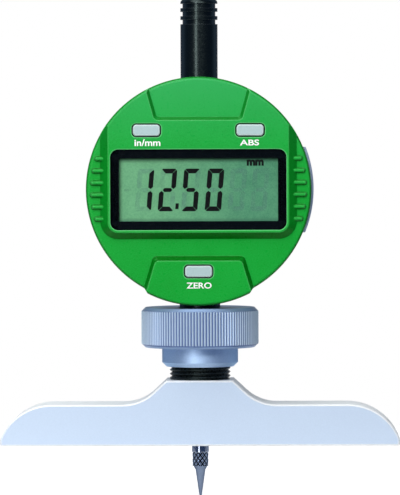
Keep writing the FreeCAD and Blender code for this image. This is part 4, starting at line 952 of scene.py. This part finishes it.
def make_floor():
    """A pale floor just under the point, which keeps a soft shadow."""
    z = CAD_BOX[0].z - 0.1 * MM
    left, right, near, far = FLOOR_EDGES
    vertices = [(left, near, z), (right, near, z), (right, far, z), (left, far, z)]
    floor = bpy.data.objects.new("floor", mesh_of("floor", vertices, [(0, 1, 2, 3)]))
    bpy.context.scene.collection.objects.link(floor)
    floor.data.materials.append(floor_look())


def room_tones(nodes, links):
    """The colours of the room by direction, from the viewer's side to the far side."""
    parts = nodes.new("ShaderNodeSeparateXYZ")
    links.new(nodes.new("ShaderNodeTexCoord").outputs["Generated"], parts.inputs["Vector"])
    toward = nodes.new("ShaderNodeMapRange")
    toward.inputs["From Min"].default_value = -1.0
    toward.inputs["From Max"].default_value = 1.0
    links.new(parts.outputs["Y"], toward.inputs["Value"])
    ramp = nodes.new("ShaderNodeValToRGB")
    links.new(toward.outputs["Result"], ramp.inputs["Fac"])
    steps = ramp.color_ramp.elements
    steps[0].color = ROOM_NEAR
    steps[1].color = (1, 1, 1, 1)
    steps[1].position = ROOM_WHITE
    for position, colour in ROOM_TONES:
        steps.new(position).color = (*colour, 1)
    return ramp.outputs["Color"]


def background(nodes, strength):
    node = nodes.new("ShaderNodeBackground")
    node.inputs["Color"].default_value = (1, 1, 1, 1)
    node.inputs["Strength"].default_value = strength
    return node


def mixed(nodes, links, kinds, others, chosen):
    """One surround for rays of some kinds, and another for the rest."""
    node = nodes.new("ShaderNodeMixShader")
    links.new(ray_share(nodes, links, kinds), node.inputs["Fac"])
    links.new(others, node.inputs[1])
    links.new(chosen, node.inputs[2])
    return node.outputs["Shader"]


def make_world():
    """A white surround for the camera, and for metal a soft room that is darker towards the viewer."""
    world = bpy.data.worlds.new("studio")
    bpy.context.scene.world = world
    world.use_nodes = True
    nodes, links = world.node_tree.nodes, world.node_tree.links
    nodes.clear()
    room = background(nodes, 1.0)
    links.new(room_tones(nodes, links), room.inputs["Color"])
    plain, white = background(nodes, ROOM_LIGHT), background(nodes, 1.0)
    plain, white, room = (node.outputs["Background"] for node in (plain, white, room))
    lit = mixed(nodes, links, ("Is Glossy Ray",), plain, room)
    seen = mixed(nodes, links, ("Is Camera Ray", "Is Transmission Ray"), lit, white)
    output = nodes.new("ShaderNodeOutputWorld")
    links.new(seen, output.inputs["Surface"])


def make_lamp(name, place, size, power, mirrored):
    """A soft lamp, width by height, that faces the indicator."""
    data = bpy.data.lights.new(name, "AREA")
    data.shape = "RECTANGLE"
    data.size, data.size_y = size
    data.energy = power
    lamp = bpy.data.objects.new(name, data)
    bpy.context.scene.collection.objects.link(lamp)
    lamp.location = place
    lamp.visible_glossy = mirrored
    aim = Vector((0, 0, CENTRE_Z)) - Vector(place)
    lamp.rotation_euler = aim.to_track_quat("-Z", "Y").to_euler()


def make_camera():
    data = bpy.data.cameras.new("camera")
    data.sensor_width = SENSOR
    data.lens = LENS
    data.clip_start = CAMERA_NEAR
    data.clip_end = CAMERA_FAR
    camera = bpy.data.objects.new("camera", data)
    bpy.context.scene.collection.objects.link(camera)
    camera.location = CAMERA_PLACE
    aim = (Vector(CAMERA_AIM) - Vector(CAMERA_PLACE)).to_track_quat("-Z", "Y")
    camera.rotation_euler = (aim.to_matrix() @ Matrix.Rotation(CAMERA_ROLL, 3, "Z")).to_euler()
    bpy.context.scene.camera = camera


looks = make_looks()
dress_nodes(looks)
make_display()
make_labels()
make_post(looks["black_steel"])
make_spring(looks["spring_steel"])
make_point()
make_floor()
make_world()
for row in LAMPS:
    make_lamp(*row)
make_camera()
bpy.context.scene.view_settings.view_transform = "Standard"
